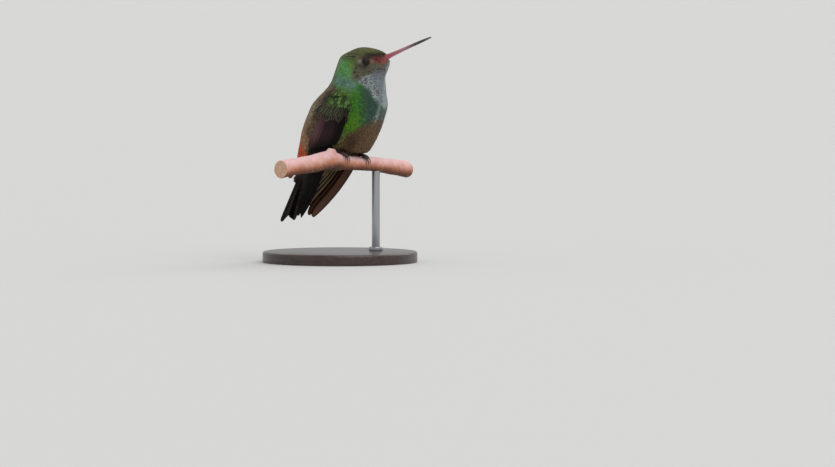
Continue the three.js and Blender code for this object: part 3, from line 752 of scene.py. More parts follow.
class Markings:
    """Colour, edge colour and gloss of the coat at places of the body, laid on region by region.

    A region's share is a product of S-curves and bells of the distance down the spine and of the turn from
    the front, so it is the same on both sides of the bird.
    """

    def __init__(self, s, phi, plumage):
        names = (key for key in PlumageSettings.__annotations__ if "depth" not in key)
        self.hue = {key: np.array(getattr(plumage, key)) for key in names}
        self.s, self.phi = s, phi
        self.turn = np.degrees(np.abs(np.mod(phi + np.pi, 2 * np.pi) - np.pi))
        self.coarse, self.fine, self.speck = (mottle(s, phi, grain) for grain in (2.1, 4.2, 7.5))
        self.tint = self.hue["green"] + 0 * s[..., None]
        self.edge = self.hue["green"] * 1.15 + 0 * s[..., None]
        self.gloss = 0.8 + 0 * s

    def lay(self, name, amount, rim=None, shine=0.1):
        """Moves the colours towards a named one by an amount, and the edges towards a rim."""
        amount = np.clip(amount, 0, 1)
        rim_hue = self.hue[rim] if rim else np.minimum(self.hue[name] * 1.2, 1)
        self.tint, self.edge = mix(self.tint, self.hue[name], amount), mix(self.edge, rim_hue, amount)
        self.gloss = self.gloss + (shine - self.gloss) * amount

    def spot(self, at_s, at_turn, wide_s, wide_turn):
        """A round bell about one place, with a width down the spine and one round it."""
        return near(np.hypot((self.s - at_s) / wide_s, (self.turn - at_turn) / wide_turn), 0, 1)


def body_markings(coat):
    """Lays on the back, breast, belly, rump and tail coverts, and gives the belly's share."""
    s, turn, coarse, fine = coat.s, coat.turn, coat.coarse, coat.fine
    lay, spot = coat.lay, coat.spot
    lay("shoulder", near(s, 17.5, 4) * smooth(turn, 74, 88), "olive", 0.4)
    wider = 12 * smooth(s, 19, 23)
    lay("back", smooth(s, 13.5, 17) * smooth(turn, 108 - wider, 130 - wider), "back_edge")
    lay("dark_spots_and_gap_shade", 0.8 * smooth(fine, 0.6, 0.8) * spot(16.5, 104, 4, 18))
    lay("back_edge", 0.75 * smooth(s, 22, 27) * fade(s, 38, 42) * smooth(turn, 122, 138) * (0.3 + coarse))
    flecks = 0.5 * smooth(coarse, 0.7, 0.85) * smooth(turn, 110, 125) * smooth(s, 18, 20)
    # The spot where the back meets the wing is painted shade in that gap; the flecks are real markings.
    lay("dark_spots_and_gap_shade", 0.9 * spot(19.5, 129, 3.0, 7) + flecks)
    lay("yellow_green", 0.8 * spot(25.5, 60, 4.0, 16), shine=0.7)
    edge_turn = limit(s, (11, 80), (13, 72), (16, 61), (19, 54), (22, 46), (25, 40), (27, 36))
    teal = smooth(s, 11.5, 14) * fade(turn + 16 * (fine - 0.5), edge_turn - 9, edge_turn + 10)
    lay("breast", teal, "breast", 0.25)
    lay("throat", 0.4 * teal * fade(turn, 6, 14), "throat_edges_and_rim_light", 0.2)
    lay("throat_edges_and_rim_light", 0.6 * spot(20.5, 20, 4.2, 4.5), "throat_edges_and_rim_light")
    belly_from = limit(turn, (0, 21.6), (30, 22.4), (42, 23.8), (54, 27.2), (66, 29.4), (75, 30.5), (100, 32))
    belly = smooth(s + 1.2 * (coarse - 0.5) + 1.4 * (fine - 0.5), belly_from - 2.0, belly_from + 2.2)
    lay("belly", belly * fade(turn, 96, 116), "belly_pale", 0.0)
    lay("belly_dark", 0.8 * belly * spot(31, 50, 3.4, 14), "belly_dark", 0.0)
    lay("belly_pale", 0.8 * belly * fade(turn, 26, 42), "belly_pale", 0.0)
    lay("flank", 0.7 * smooth(s, 27.5, 30) * fade(s, 36, 41) * near(turn, 68, 8) * (0.5 + fine))
    lay("belly_grey", 0.7 * smooth(s, 34.5, 38) * fade(turn, 52, 72), "belly_grey")
    rump = smooth(s, 31, 40) * smooth(turn, 100, 124) * (0.55 + 0.45 * smooth(turn, 135, 160))
    lay("rump", rump, "rump", 0.05)
    lay("rufous", smooth(s + 1.6 * (coarse - 0.5), 41.0, 45.6) * smooth(turn, 84, 104), "rufous", 0.05)
    lay("rump", 0.5 * smooth(s, 41, 46) * smooth(turn, 142, 165) * (0.5 + fine), "rufous")
    lay("rump", 0.7 * smooth(s, 46, 50) * fade(turn, 40, 70), "belly_pale")
    lay("covert", smooth(s, 47.6 + 1.5 * fade(turn, 50, 80), 51), "covert", 0.0)
    return belly


def head_markings(coat):
    """Lays on the nape, crown, cheek, throat and the marks round eye and bill."""
    s, turn, coarse, fine = coat.s, coat.turn, coat.coarse, coat.fine
    lay, spot = coat.lay, coat.spot
    lay("nape", fade(s, 12.5, 16) * smooth(turn, 84, 97), "nape", 0.7)
    lay("olive", 0.85 * spot(5.6, 100, 3.2, 9), "olive", 0.5)
    rear = 0.8 * spot(4.2, 122, 1.6, 30) * (0.35 + coarse)
    lay("crown_dark", rear + 0.5 * spot(3.2, 98, 0.9, 10), "olive", 0.2)
    lay("hind", 0.85 * fade(s, 16, 20) * smooth(s, 4, 6) * smooth(turn, 134, 156), "hind")
    lay("collar", near(s, 13.0, 1.9) * smooth(turn, 72, 88) * fade(turn, 128, 148), "collar", 0.35)
    crown_to = limit(turn, (0, 1.5), (60, 2.4), (95, 3.4), (120, 3.9), (145, 3.2), (180, 2.2))
    lay("crown", fade(s + 1.4 * (coarse - 0.5), crown_to - 0.8, crown_to + 0.8), "crown")
    streak = 0.5 + 0.5 * np.sin(2 * np.pi * s / 1.05 + 0.9 * np.sin(coat.phi * 9))
    lay("brow", 0.85 * smooth(streak, 0.45, 0.8) * near(s, 3.3, 1.7) * smooth(turn, 84, 100), "brow")
    lay("olive", 0.5 * smooth(1 - streak, 0.5, 0.9) * near(s, 3.6, 1.4) * smooth(turn, 98, 112), "collar")
    lay("brow_pale", fade(s, 4.6, 5.6) * smooth(s, crown_to - 0.9, crown_to) * fade(turn, 92, 102))
    cheek = smooth(s, 4.6, 5.6) * fade(s, 10.5, 12.5) * fade(turn, 90, 101)
    lay("cheek", cheek, "brow_pale", 0.05)
    lay("brow", 0.6 * cheek * smooth(fine, 0.6, 0.85) * smooth(s, 6.5, 8), "brow")
    throat_to = limit(turn, (0, 17.4), (12, 17.0), (28, 16.0), (45, 14.1), (65, 12.2), (85, 11.2))
    cheek_from = limit(s, (5.5, 40), (7.5, 50), (9, 64), (11, 80))
    chin_from = 3.0 + 2.4 * smooth(turn, 12, 40)
    pale = smooth(s, chin_from, chin_from + 1.5) * fade(s, throat_to - 0.7, throat_to + 0.9)
    pale = pale * fade(turn, cheek_from - 9, cheek_from + 9)
    lay("throat", pale, "throat_edges_and_rim_light", 0.05)
    # The whiter front of the throat is painted rim light over the real pale feather edges.
    lay("throat_edges_and_rim_light", 0.75 * pale * fade(turn, 9, 17), "throat_edges_and_rim_light")
    speckled = np.maximum(spot(10.6, 62, 2.6, 17), spot(13.5, 38, 2.6, 12))
    lay("throat_edges_and_rim_light", 0.95 * np.sqrt(pale) * speckled * smooth(coat.speck, 0.45, 0.7), "throat_edges_and_rim_light")
    lay("dark_spots_and_gap_shade", 0.85 * np.sqrt(pale) * speckled * smooth(1 - coat.speck, 0.55, 0.8), "brow")
    lay("breast", 0.7 * spot(13.8, 52, 0.9, 7), "breast")
    brow_at = limit(turn, (0, 1.7), (30, 2.1), (60, 2.5), (80, 2.5))
    lay("brow", near(s, brow_at, 0.7) * fade(turn, 66, 90), "brow")
    lay("brow", 0.85 * near(s, 3.4, 0.5) * near(turn, 71, 17), "brow")
    lay("brow", 0.6 * spot(6.6, 76, 0.7, 12), "brow")
    lay("chin", 0.8 * spot(6.0, 34, 1.2, 17), "throat_edges_and_rim_light")
    lay("dark_spots_and_gap_shade", 0.85 * spot(6.2, 38, 1.1, 15) * smooth(coat.speck, 0.5, 0.75), "brow")
    lay("gape", 0.9 * spot(3.9, 40, 0.8, 12), "gape", 0.0)
    lay("lores", 1.1 * spot(3.7, 50, 0.8, 7), "lores", 0.0)
    lay("lores", 0.55 * spot(5.0, 63.5, 0.7, 3.2), "chin")
    lay("pale_spot", 0.6 * spot(4.5, 59.5, 0.45, 2.6) + 0.9 * spot(5.0, 86.5, 0.62, 4.2), "pale_spot")


def coat_colours(s, phi, plumage):
    """Colour, edge colour and gloss of the coat, darkened in blotches and between the breast's scales."""
    coat = Markings(s, phi, plumage)
    belly = body_markings(coat)
    head_markings(coat)
    turn, gaps = coat.turn, 1 - coat.fine
    shade = 1.05 - (0.14 + 0.3 * smooth(turn, 80, 110) + 0.14 * belly) * (1 - coat.coarse)
    shade = shade - 0.3 * smooth(gaps, 0.5, 0.8) * near(turn, 62, 22) * smooth(s, 14, 17) * (1 - belly)
    return coat.tint * shade[..., None], coat.edge * shade[..., None], coat.gloss


def around_eyes(p, flow):
    """Turns the lie of the coat round the eyes and tells how close each place is to one."""
    close = np.full(len(p), 1e3)
    for side, _ in SIDES:
        away = p - eye(side)[0]
        far = np.linalg.norm(away, axis=-1)
        away = away / far[:, None]
        towards = np.maximum(-dot(flow, away), 0)
        flow = flow + away * towards * fade(far, 1.7, 3.6)[:, None]
        close = np.minimum(close, far)
    return flow, close


def in_bill(s, phi):
    """Whether places of the untwisted head are covered by the root of the bill."""
    local = straight_body(s, phi) - BILL_ROOT
    aside, up = local[..., 1] / (BILL[0, 1] * 0.98), (local @ BILL_UP) / (BILL[0, 2] * 1.02)
    return (np.hypot(aside, up) < 1) & (local @ BILL_LINE > -2.5)


def on_bill(reach, turn):
    """A place on the bill's surface: millimetres from its root, and the turn round it from its side."""
    wide, deep = np.moveaxis(through(BILL, reach / BILL_LENGTH), -1, 0)
    y, up = wide * np.cos(turn), deep * np.sin(turn)
    line = reach[..., None] * BILL_LINE + up[..., None] * BILL_UP
    return turn_head(BILL_ROOT + line + places(0, y, 0))


def skin_place(s, phi):
    """A root's place on the unwrapped skin."""
    around = np.mod(phi + np.pi, 2 * np.pi) / (2 * np.pi)
    return np.stack([0.04 + 0.92 * around, 0.04 + 0.92 * s / BODY_END], axis=-1)


def stacked(tables):
    """Several tables of arrays as one, with the arrays of each name set below one another."""
    return {key: np.vstack([table[key] for table in tables]) for key in tables[0]}


def coat_piece(name, s, phi, plumage, material, seed):
    """One piece of the coat: a vane at each root, in two parts that lie on and off the crown's flat chart."""
    rng = np.random.default_rng(seed)
    parts = [coat_part(s[here], phi[here], crown, plumage, rng)
             for crown, here in ((True, s < CHART_END), (False, s >= CHART_END)) if np.any(here)]
    shapes, colours, maps = zip(*parts)
    colours, maps = stacked(colours), stacked(maps)
    put(name, joined(shapes), material, colours=colours, maps=maps)


def coat_part(s, phi, crown, plumage, rng):
    """Vanes of the coat with their colours and maps.

    Their lie turns from away from the bill on the face to down the spine on the body. They are shorter round
    the eyes, and their tips stand off where the coat laps over the wing's bend and front edge.
    """
    surface = on_crown if crown else on_body
    a, b = crown_chart(s, phi) if crown else (s, phi)
    count = len(s)
    p = surface(a, b)
    outward = p - turn_head(spine(s)[0] + places(0, 0, -2.0 * (s < 3)))
    down = on_body(s + 0.3, phi) - on_body(np.maximum(s - 0.3, 0), phi)
    flow = mix(unit(p - bill_root()), unit(down), smooth(s, 7, 14))
    flow, close = around_eyes(p, flow)
    room = smooth(close, 1.5, 3.4)
    loose = 0.09 + 0.16 * smooth(s, 28, 38) * fade(np.abs(phi), 1.4, 2.0)
    sway = unit(np.cross(outward, flow)) * rng.normal(0, 1, (count, 1)) * loose[:, None]
    long = vane_length(s, phi) * rng.uniform(0.88, 1.12, count) * (0.5 + 0.5 * room)
    half = vane_half(s, phi) * rng.uniform(0.88, 1.08, count) * (0.6 + 0.4 * room)
    depth = coat_depth(s, phi, plumage) * rng.uniform(0.8, 1.0, count)
    lift = rng.uniform(-0.09, 0.03, count) * (0.4 + 0.6 * smooth(s, 8, 20))
    turn = np.degrees(np.abs(phi))
    over_bend = near(turn, 96, 17) * smooth(s, 14.2, 16.6) * fade(s, 18.0, 19.0)
    front_edge = limit(s, (17, 80), (22, 76), (30, 67))
    over_front = near(turn, front_edge, 6) * smooth(s, 17, 19) * fade(s, 30, 34)
    lift = lift + 0.95 * over_bend + 0.45 * over_front
    backwards = np.cross(unit(outward), unit(down)) * np.sign(phi)[:, None]
    flow = flow + backwards * (0.3 * over_front)[:, None]
    shape, vane = vanes(surface, a, b, outward, flow + sway, long, half, depth, lift)
    tint, edge, gloss = coat_colours(s, phi, plumage)
    shade = rng.uniform(0.82, 1.18, (count, 1)) * (1 + rng.normal(0, 0.04, (count, 3)))
    colours = vane_colours(tint * shade, edge * shade, gloss)
    return shape, colours, vane_maps(vane, skin_place(s, phi), count)


# ---- materials


class Finish:
    """A small helper that lays shader nodes one after another."""

    def __init__(self, name, roughness, specular=0.5, metallic=0.0, coat=0.0):
        self.material = bpy.data.materials.new(name)
        self.material.use_nodes = True
        self.tree = self.material.node_tree
        self.shader = self.tree.nodes["Principled BSDF"]
        self.shader.inputs["Roughness"].default_value = roughness
        self.shader.inputs["Specular IOR Level"].default_value = specular
        self.shader.inputs["Metallic"].default_value = metallic
        self.shader.inputs["Coat Weight"].default_value = coat
        self.shader.inputs["Coat Roughness"].default_value = 0.08

    def node(self, kind, settings=None, **inputs):
        """Adds a shader node, with inputs given by name or as _0, _1 and so on."""
        made = self.tree.nodes.new("ShaderNode" + kind)
        for key, value in (settings or {}).items():
            setattr(made, key, value)
        for key, value in inputs.items():
            self.feed(made.inputs[int(key[1:]) if key[1:].isdigit() else key.replace("_", " ")], value)
        return made

    def feed(self, socket, value):
        """Links a socket to another, or sets it to a number, a vector or an opaque colour."""
        if isinstance(value, bpy.types.NodeSocket):
            self.tree.links.new(value, socket)
        elif hasattr(value, "__len__") and len(value) == 3 and len(socket.default_value) == 4:
            socket.default_value = (*value, 1)
        else:
            socket.default_value = value

    def attribute(self, name):
        """Values that are kept for each point of the mesh."""
        return self.node("Attribute", {"attribute_name": name})

    def map(self, name):
        """Both coordinates of one of the piece's maps."""
        split = self.node("SeparateXYZ", Vector=self.node("UVMap", {"uv_map": name}).outputs[0])
        return split.outputs[0], split.outputs[1]

    def objects(self, scale=(1, 1, 1), turn=(0, 0, 0)):
        """Object coordinates in millimetres, turned and scaled."""
        place = self.node("TexCoord").outputs["Object"]
        mapping = self.node("Mapping", Vector=place)
        mapping.inputs["Scale"].default_value = tuple(k / MM for k in scale)
        mapping.inputs["Rotation"].default_value = turn
        return mapping.outputs[0]

    def math(self, operation, a, b=0.0, c=0.0):
        """One sum of up to three numbers."""
        return self.node("Math", {"operation": operation}, _0=a, _1=b, _2=c).outputs[0]

    def product(self, a, b):
        """One number times another."""
        return self.math("MULTIPLY", a, b)

    def step(self, value, low, high):
        """0 below low and 1 above high, with an S-curve between them."""
        made = self.node("MapRange", {"interpolation_type": "SMOOTHSTEP"}, Value=value)
        made.inputs["From Min"].default_value = low
        made.inputs["From Max"].default_value = high
        return made.outputs[0]

    def fade(self, value, low, high):
        """1 below low and 0 above high, with an S-curve between them."""
        return self.math("SUBTRACT", 1.0, self.step(value, low, high))

    def noise(self, vector, scale, detail=3.0, rough=0.55):
        """Cloudy noise about one half."""
        made = self.node("TexNoise", Vector=vector, Scale=scale, Detail=detail, Roughness=rough)
        return made.outputs["Fac"]

    def blend(self, factor, a, b, how="MIX"):
        """Colour a moved towards colour b by a factor."""
        made = self.node("Mix", {"data_type": "RGBA", "blend_type": how})
        self.feed(made.inputs[0], factor)
        self.feed(made.inputs[6], a)
        self.feed(made.inputs[7], b)
        return made.outputs[2]

    def times(self, a, b):
        """Colour a multiplied by a colour or a number."""
        return self.blend(1.0, a, b, "MULTIPLY")

    def tinted(self, share, gain, least):
        """The piece's own colour, multiplied by a share times a gain plus the least tone."""
        tone = self.math("MULTIPLY_ADD", share, gain, least)
        return self.times(self.attribute("Tint").outputs["Color"], tone)

    def colour(self, value):
        """Sets the surface's colour."""
        self.feed(self.shader.inputs["Base Color"], value)
        return self

    def rough(self, value):
        """Sets the surface's roughness."""
        self.feed(self.shader.inputs["Roughness"], value)
        return self

    def bump(self, height, distance, strength=1.0):
        """A bump whose height is given in millimetres at full height."""
        made = self.node("Bump", Height=height, Distance=distance * MM, Strength=strength)
        self.feed(self.shader.inputs["Normal"], made.outputs[0])
        return self


def vane_finish(name, barbs, roughness, shine, rim, base_dusk_and_shade, specular=0.16, tip_rim=1.0):
    """Feather vane: shaft line, slanted barbs, a dark base that is partly the feathers' dusky bases and
    partly painted shade under the feathers that overlap them, rim and a metallic share for glittering parts.

    Barbs are a sine along the vane, held back towards its edges and bent by noise. The rim is the larger of
    the S-curves towards the sides and the tip.
    """
    f = Finish(name, roughness, specular=specular)
    u, t = f.map("Vane")
    off = f.math("ABSOLUTE", f.math("MULTIPLY_ADD", u, 2.0, -1.0))
    tint, edge = f.attribute("Tint"), f.attribute("Edge")
    slant = f.math("SUBTRACT", f.product(t, barbs), f.product(off, barbs * 0.3))
    waver = f.product(f.noise(f.objects(), 0.9, 2.0), 3.0)
    comb = f.math("SINE", f.product(f.math("ADD", slant, waver), 6.283))
    shaft = f.fade(off, 0.02, 0.11)
    edge_mask = f.math("MAXIMUM", f.step(off, 0.6, 0.98), f.product(f.step(t, 0.8, 0.97), tip_rim))
    edge_mask = f.product(edge_mask, rim)
    # Towards the root each vane darkens: partly the feathers' own dusky bases, partly painted shade under the
    # overlapping feathers.
    base = f.product(f.fade(t, 0.1, 0.62), base_dusk_and_shade)
    body = f.blend(edge_mask, tint.outputs["Color"], edge.outputs["Color"])
    body = f.blend(base, body, f.times(body, (0.2, 0.18, 0.17)))
    body = f.times(body, f.math("MULTIPLY_ADD", comb, 0.09, 0.955))
    body = f.blend(f.product(shaft, 0.2), body, f.times(body, (0.35, 0.3, 0.28)))
    f.colour(body)
    f.feed(f.shader.inputs["Metallic"], f.product(tint.outputs["Alpha"], shine))
    f.rough(f.math("MULTIPLY_ADD", f.noise(f.objects(), 1.6, 2.0), 0.22, roughness - 0.11))
    height = f.math("ADD", f.product(comb, 0.35), shaft)
    return f.bump(height, 0.03).material


def skin_finish(name="Skin"):
    """Dull skin with soft blotches of noise."""
    f = Finish(name, 0.7, specular=0.1)
    f.colour(f.tinted(f.noise(f.objects(), 0.8, 4.0), 0.5, 0.75))
    return f.bump(f.noise(f.objects(), 3.0, 3.0), 0.05).material


def horn_finish(name, roughness, grain, coat=0.15):
    """Horn of bill and claws: fine lengthwise streaks over the colour along the piece."""
    f = Finish(name, roughness, coat=coat)
    streak = f.noise(f.objects((0.5, 3, 3), (0, -BILL_RISE, 0)), grain, 4.0)
    mottle = f.noise(f.objects(), 1.4, 3.0)
    mixed = f.math("ADD", f.product(streak, 0.5), f.product(mottle, 0.5))
    f.colour(f.tinted(mixed, 0.7, 0.65))
    f.rough(f.math("MULTIPLY_ADD", mottle, 0.25, roughness - 0.12))
    return f.bump(streak, 0.02, 0.6).material


def eye_finish():
    """A wet eyeball, with the iris's fibres as fine noise."""
    f = Finish("Eye", 0.05, specular=0.22)
    return f.colour(f.tinted(f.noise(f.objects(), 4.0, 3.0), 0.6, 0.7)).material


def scute_finish(name, roughness):
    """Skin of legs and toes: rings of small scales across the length, with creases darkened as painted shade.
    """
    f = Finish(name, roughness, specular=0.4, coat=0.1)
    ridge = f.math("ABSOLUTE", f.math("SINE", f.product(f.map("Vane")[1], 40.0)))
    # The creases between scales are darkened as painted shade.
    crease_shade = f.product(f.fade(ridge, 0.05, 0.5), 0.7)
    spots = f.noise(f.objects(), 2.5, 3.0)
    skin = f.tinted(spots, 0.8, 0.6)
    f.colour(f.blend(crease_shade, skin, f.times(skin, (0.3, 0.25, 0.25))))
    return f.bump(f.math("ADD", ridge, f.product(spots, 0.4)), 0.05).material


def bark_finish(display):
    """Smooth thin bark: a pale upper side, partly weathered bark and partly painted light, a darker underside
    that is painted shade, pale pores and fine lengthwise cracks.
    """
    f = Finish("Bark", 0.78, specular=0.3)
    turn = (0, 0, -PERCH_TURN)
    grain = f.noise(f.objects((0.35, 2.2, 2.2), turn), 1.2, 6.0, 0.6)
    broad = f.noise(f.objects((0.12, 0.4, 0.4), turn), 1.0, 2.0)
    normal = f.node("SeparateXYZ", Vector=f.node("NewGeometry").outputs["Normal"]).outputs[2]
    # Upper side paler by the surface's slope, partly weathering and partly painted light; underside darker as
    # painted shade.
    top = f.step(f.math("MULTIPLY_ADD", f.math("SUBTRACT", broad, 0.5), 1.3, normal), -0.45, 0.9)
    under = f.fade(normal, -0.9, 0.1)
    base = f.blend(f.product(top, 0.9), display.bark, display.bark_pale_and_lit)
    base = f.blend(f.product(under, 0.8), base, display.bark_cracks_and_shade)
    cracks = f.step(grain, 0.6, 0.72)
    base = f.blend(f.product(cracks, 0.55), base, display.bark_cracks_and_shade)
    pores = f.node("TexVoronoi", {"feature": "F1"}, Vector=f.objects((0.7, 1.3, 1.3), turn), Scale=0.42)
    pore = f.product(f.fade(pores.outputs["Distance"], 0.08, 0.2), f.step(broad, 0.45, 0.6))
    base = f.blend(f.product(pore, 0.6), base, display.bark_pale_and_lit)
    fine = f.noise(f.objects(), 4.0, 5.0)
    base = f.times(base, f.math("MULTIPLY_ADD", fine, 0.5, 0.75))
    cut = f.attribute("Cut").outputs["Fac"]
    rings = f.noise(f.objects((2, 2, 2)), 1.0, 4.0)
    wood = f.blend(f.step(rings, 0.35, 0.7), display.cut_wood, display.bark)
    f.colour(f.blend(cut, base, wood))
    height = f.math("ADD", f.product(grain, -0.6), f.product(fine, 0.3))
    return f.bump(f.math("MULTIPLY_ADD", pore, 0.5, height), 0.25, 0.8).material


def wood_finish(display):
    """Dark stained wood: stretched noise along X for the grain, under a thin coat of lacquer."""
    f = Finish("Stand wood", 0.42, coat=0.25)
    grain = f.noise(f.objects((0.05, 0.9, 0.9)), 1.0, 6.0, 0.6)
    pores = f.noise(f.objects((0.25, 5, 5)), 1.0, 3.0)
    dark = f.times(display.stand_wood, (0.45, 0.4, 0.38))
    f.colour(f.blend(f.step(grain, 0.38, 0.66), display.stand_wood, dark))
    f.rough(f.math("MULTIPLY_ADD", pores, 0.2, 0.34))
    return f.bump(f.math("ADD", grain, f.product(pores, 0.5)), 0.06).material


def steel_finish(display):
    """Brushed steel: fine rings round the rod in colour, roughness and bump."""
    f = Finish("Stand steel", 0.32, metallic=1.0)
    rings = f.noise(f.objects((0.3, 0.3, 9)), 1.0, 4.0)
    f.colour(f.blend(f.product(rings, 0.5), display.stand_steel, (0.25, 0.25, 0.26)))
    f.rough(f.math("MULTIPLY_ADD", rings, 0.2, 0.22))
    return f.bump(rings, 0.01).material


def floor_finish(display):
    """A pale floor, a little cloudy."""
    f = Finish("Floor", 0.7, specular=0.2)
    cloud = f.noise(f.objects((0.004, 0.004, 0.004)), 1.0, 3.0)
    f.colour(f.blend(f.product(cloud, 0.06), display.floor, (0.6, 0.6, 0.6)))
    return f.material


# ---- the wings


def wing_share(x, z):
    """How far across the folded wing a place is, 0 at its back edge and 1 at its front edge.

    The heights of both edges come with it.
    """
    back_x, back_y, front_x, front_y = np.moveaxis(through(WING, WING_TOP - z), -1, 0)
    return (x - back_x) / np.maximum(front_x - back_x, 3), back_y, front_y


def wing_height(x, z):
    """The wing's inner face: an arched chord between its edges, or the body where that stands further out."""
    q, back_y, front_y = wing_share(x, z)
    q = np.clip(q, -0.15, 1.15)
    chord = back_y + (front_y - back_y) * q + 0.5 * np.sin(np.pi * np.clip(q, 0, 1))
    body = body_half_width(x, z) + WING_REST
    return (chord + body + np.hypot(chord - body, 0.5)) / 2


def on_wing(side, layer):
    """The wing's surface raised by a layer that may depend on x and z."""
    ahead = FAR_WING_AHEAD * (side > 0)

    def surface(x, z):
        """Places at x and z, as far out as the wing's inner face and the layer."""
        raised = wing_height(x, z) + (layer(x, z) if callable(layer) else layer)
        return places(x + ahead, side * raised, z)

    return surface


BLADE_GLOSS = 0.3
BLADE_TOP = np.array([-1, -0.8, -0.55, -0.3, -0.1, 0, 0.1, 0.3, 0.55, 0.8, 1])
BLADE_UNDER = np.array([0.65, 0.25, 0, -0.25, -0.65])
BLADE_ACROSS = np.concatenate([BLADE_TOP, BLADE_UNDER])
BLADE_SIDE = np.concatenate([np.zeros(11), np.ones(5)])


def blade_grid(t):
    """Way along, way across and side for each point of a blade, with its root and tip last."""
    along = np.append(np.repeat(t, len(BLADE_ACROSS)), [0, 1])
    across, below = (np.append(np.tile(row, len(t)), [0, 0]) for row in (BLADE_ACROSS, BLADE_SIDE))
    return along, across, below


def blade_width(t, round_from):
    """Share of a flight feather's full width: narrow at the quill, a quarter ellipse at the tip."""
    bend = np.clip((t - round_from) / (1 - round_from), 0, 1)
    return (0.6 + 0.4 * smooth(t, 0, 0.4)) * np.sqrt(1 - bend**2)


def wing_blades(side, roots, tips, bows, leads, trails, layers, thick, rows=26):
    """A stack of flight feathers on one wing.

    Each runs from root to tip in the side plane and bows by a parabola towards the front. It is tilted so
    that its front vane lies over the one before it, and is thickest at the shaft, which stands up as a ridge.
    """
    t = 1 - (1 - np.linspace(0, 0.965, rows)) ** 1.5
    run = tips - roots
    span = np.linalg.norm(run, axis=1, keepdims=True)
    normal = np.stack([-run[:, 1], run[:, 0]], axis=1) / span
    t_all = np.append(t, [0, 1])
    sway = bows[:, None] * 4 * t_all * (1 - t_all)
    line = roots[:, None] + run[:, None] * t_all[:, None] + normal[:, None] * sway[..., None]
    v = BLADE_ACROSS
    reach = np.where(v < 0, trails[:, None] * v, leads[:, None] * v)
    wide = np.where(v < 0, blade_width(t, 0.82)[:, None], blade_width(t, 0.66)[:, None])
    spot = line[:, :-2, None] + normal[:, None, None] * (reach[:, None] * wide)[..., None]
    bulge = thick * (0.25 + 0.75 * (1 - np.abs(v)) ** 1.2) + 0.1 * near(v, 0, 0.09)
    upper = np.where(BLADE_SIDE == 1, 0, bulge)[None] * (1.1 - t[:, None]) ** 0.4
    lift = layers[:, None, None] + 0.2 + 0.19 * v + upper
    rings = on_wing(side, lift)(spot[..., 0], spot[..., 1])
    tip = line[:, -2:]
    ends = on_wing(side, layers[:, None] + 0.25)(tip[..., 0], tip[..., 1])
    return closed(rings, ends), *blade_grid(t)


def blade_maps(grid_t, grid_v, count):
    """Vane map, and a strip of the bake's map for each feather."""
    vane = np.stack([(grid_v + 1) / 2, grid_t], axis=-1)
    strip = (np.arange(count)[:, None, None] + 0.1 + 0.8 * vane[None, :, :1]) / count
    up = np.broadcast_to(0.02 + 0.46 * grid_t[None, :, None], strip.shape)
    return {"OFBake": np.concatenate([strip, up], axis=-1).reshape(-1, 2), "Vane": np.tile(vane, (count, 1))}


def blade_colours(main, rim, under, grid_t, below, rng):
    """Colours of a stack of flight feathers: an upper colour and rim, and an under colour, for each."""
    count = len(main)
    shade = rng.uniform(0.86, 1.12, (count, 1, 1))
    tint = mix(main[:, None] + 0 * grid_t[:, None], under, below) * shade
    rim = mix(rim[:, None] + 0 * grid_t[:, None], under * 1.1, below) * shade
    alpha = np.full((count, len(grid_t), 1), BLADE_GLOSS)
    return {"Tint": np.concatenate([tint, alpha], -1).reshape(-1, 4), "Edge": rim.reshape(-1, 3)}


def between(first, last, count):
    """Even steps from a first number or place to a last one."""
    u = np.linspace(0, 1, count)
    return np.multiply.outer(1 - u, first) + np.multiply.outer(u, last)


def pad_layer(x, z):
    """Height of the coverts over the wing's inner face, a pad that swells over the arm.

    It grows downwards by an S-curve, and across by a power of a half wave, so it thins at its edges.
    """
    q = np.clip(wing_share(x, z)[0], 0, 1)
    swell = smooth((ARM_TOP - z) / ARM_DROP, -0.25, 0.6)
    return 0.42 + 1.02 * swell * np.sin(np.pi * q) ** 0.6


def arm_pad(side):
    """The arm under the coverts: the pad sunk a little, closed by a face on the wing's inner side."""
    z = np.linspace(62.9, 51.5, 22)[:, None]
    turn = full_turn(28)[None]
    back_x, _, front_x, _ = np.moveaxis(through(WING, WING_TOP - z), -1, 0)
    shrink = 0.2 * fade((ARM_TOP - z) / ARM_DROP, 0, 0.35) + 0.03
    q = shrink + (1 - 2 * shrink) * (0.5 - 0.5 * np.cos(turn))
    x = back_x + (front_x - back_x) * q
    level = z + 0 * x
    top = np.maximum(pad_layer(x, level) - 0.45, 0.1) * np.sqrt(np.abs(np.sin(turn)))
    layer = np.where(np.sin(turn) > 0, top, -0.25 * np.sqrt(np.abs(np.sin(turn))))
    return tube(on_wing(side, layer)(x, level))


def covert_rows():
    """Roots of the wing coverts: x, z, length, half width, layer above the pad, root's depth, share across.

    Rows of lesser coverts fill the shoulder and grow longer downwards. Below them come two rows of long
    narrow greater coverts over the quills.
    """
    rows = []
    levels = np.arange(62.8, 58.5, -0.85)
    for i, z in enumerate(levels):
        q = (np.arange(12 + (i % 2)) + 0.5 * (i % 2)) / 12
        low = i / (len(levels) - 1)
        rows.append((z - 0.5 * q * low, q, 2.4 + 1.4 * low, 0.7 - 0.1 * low, 0.03 + 0.1 * low, 0.4))
    q = np.linspace(0.02, 0.97, 13)
    rows.append((58.6 - 0.9 * q, q, 5.6, 0.6, 0.3, -0.1))
    rows.append((59.6 - 0.9 * q, q - 0.03, 4.4, 0.56, 0.4, -0.05))
    table = []
    for z, q, *rest in rows:
        back_x, _, front_x, _ = np.moveaxis(through(WING, WING_TOP - z), -1, 0)
        table.append(np.stack([back_x + (front_x - back_x) * q, z, *(k + 0 * q for k in rest), q], -1))
    return np.vstack(table)


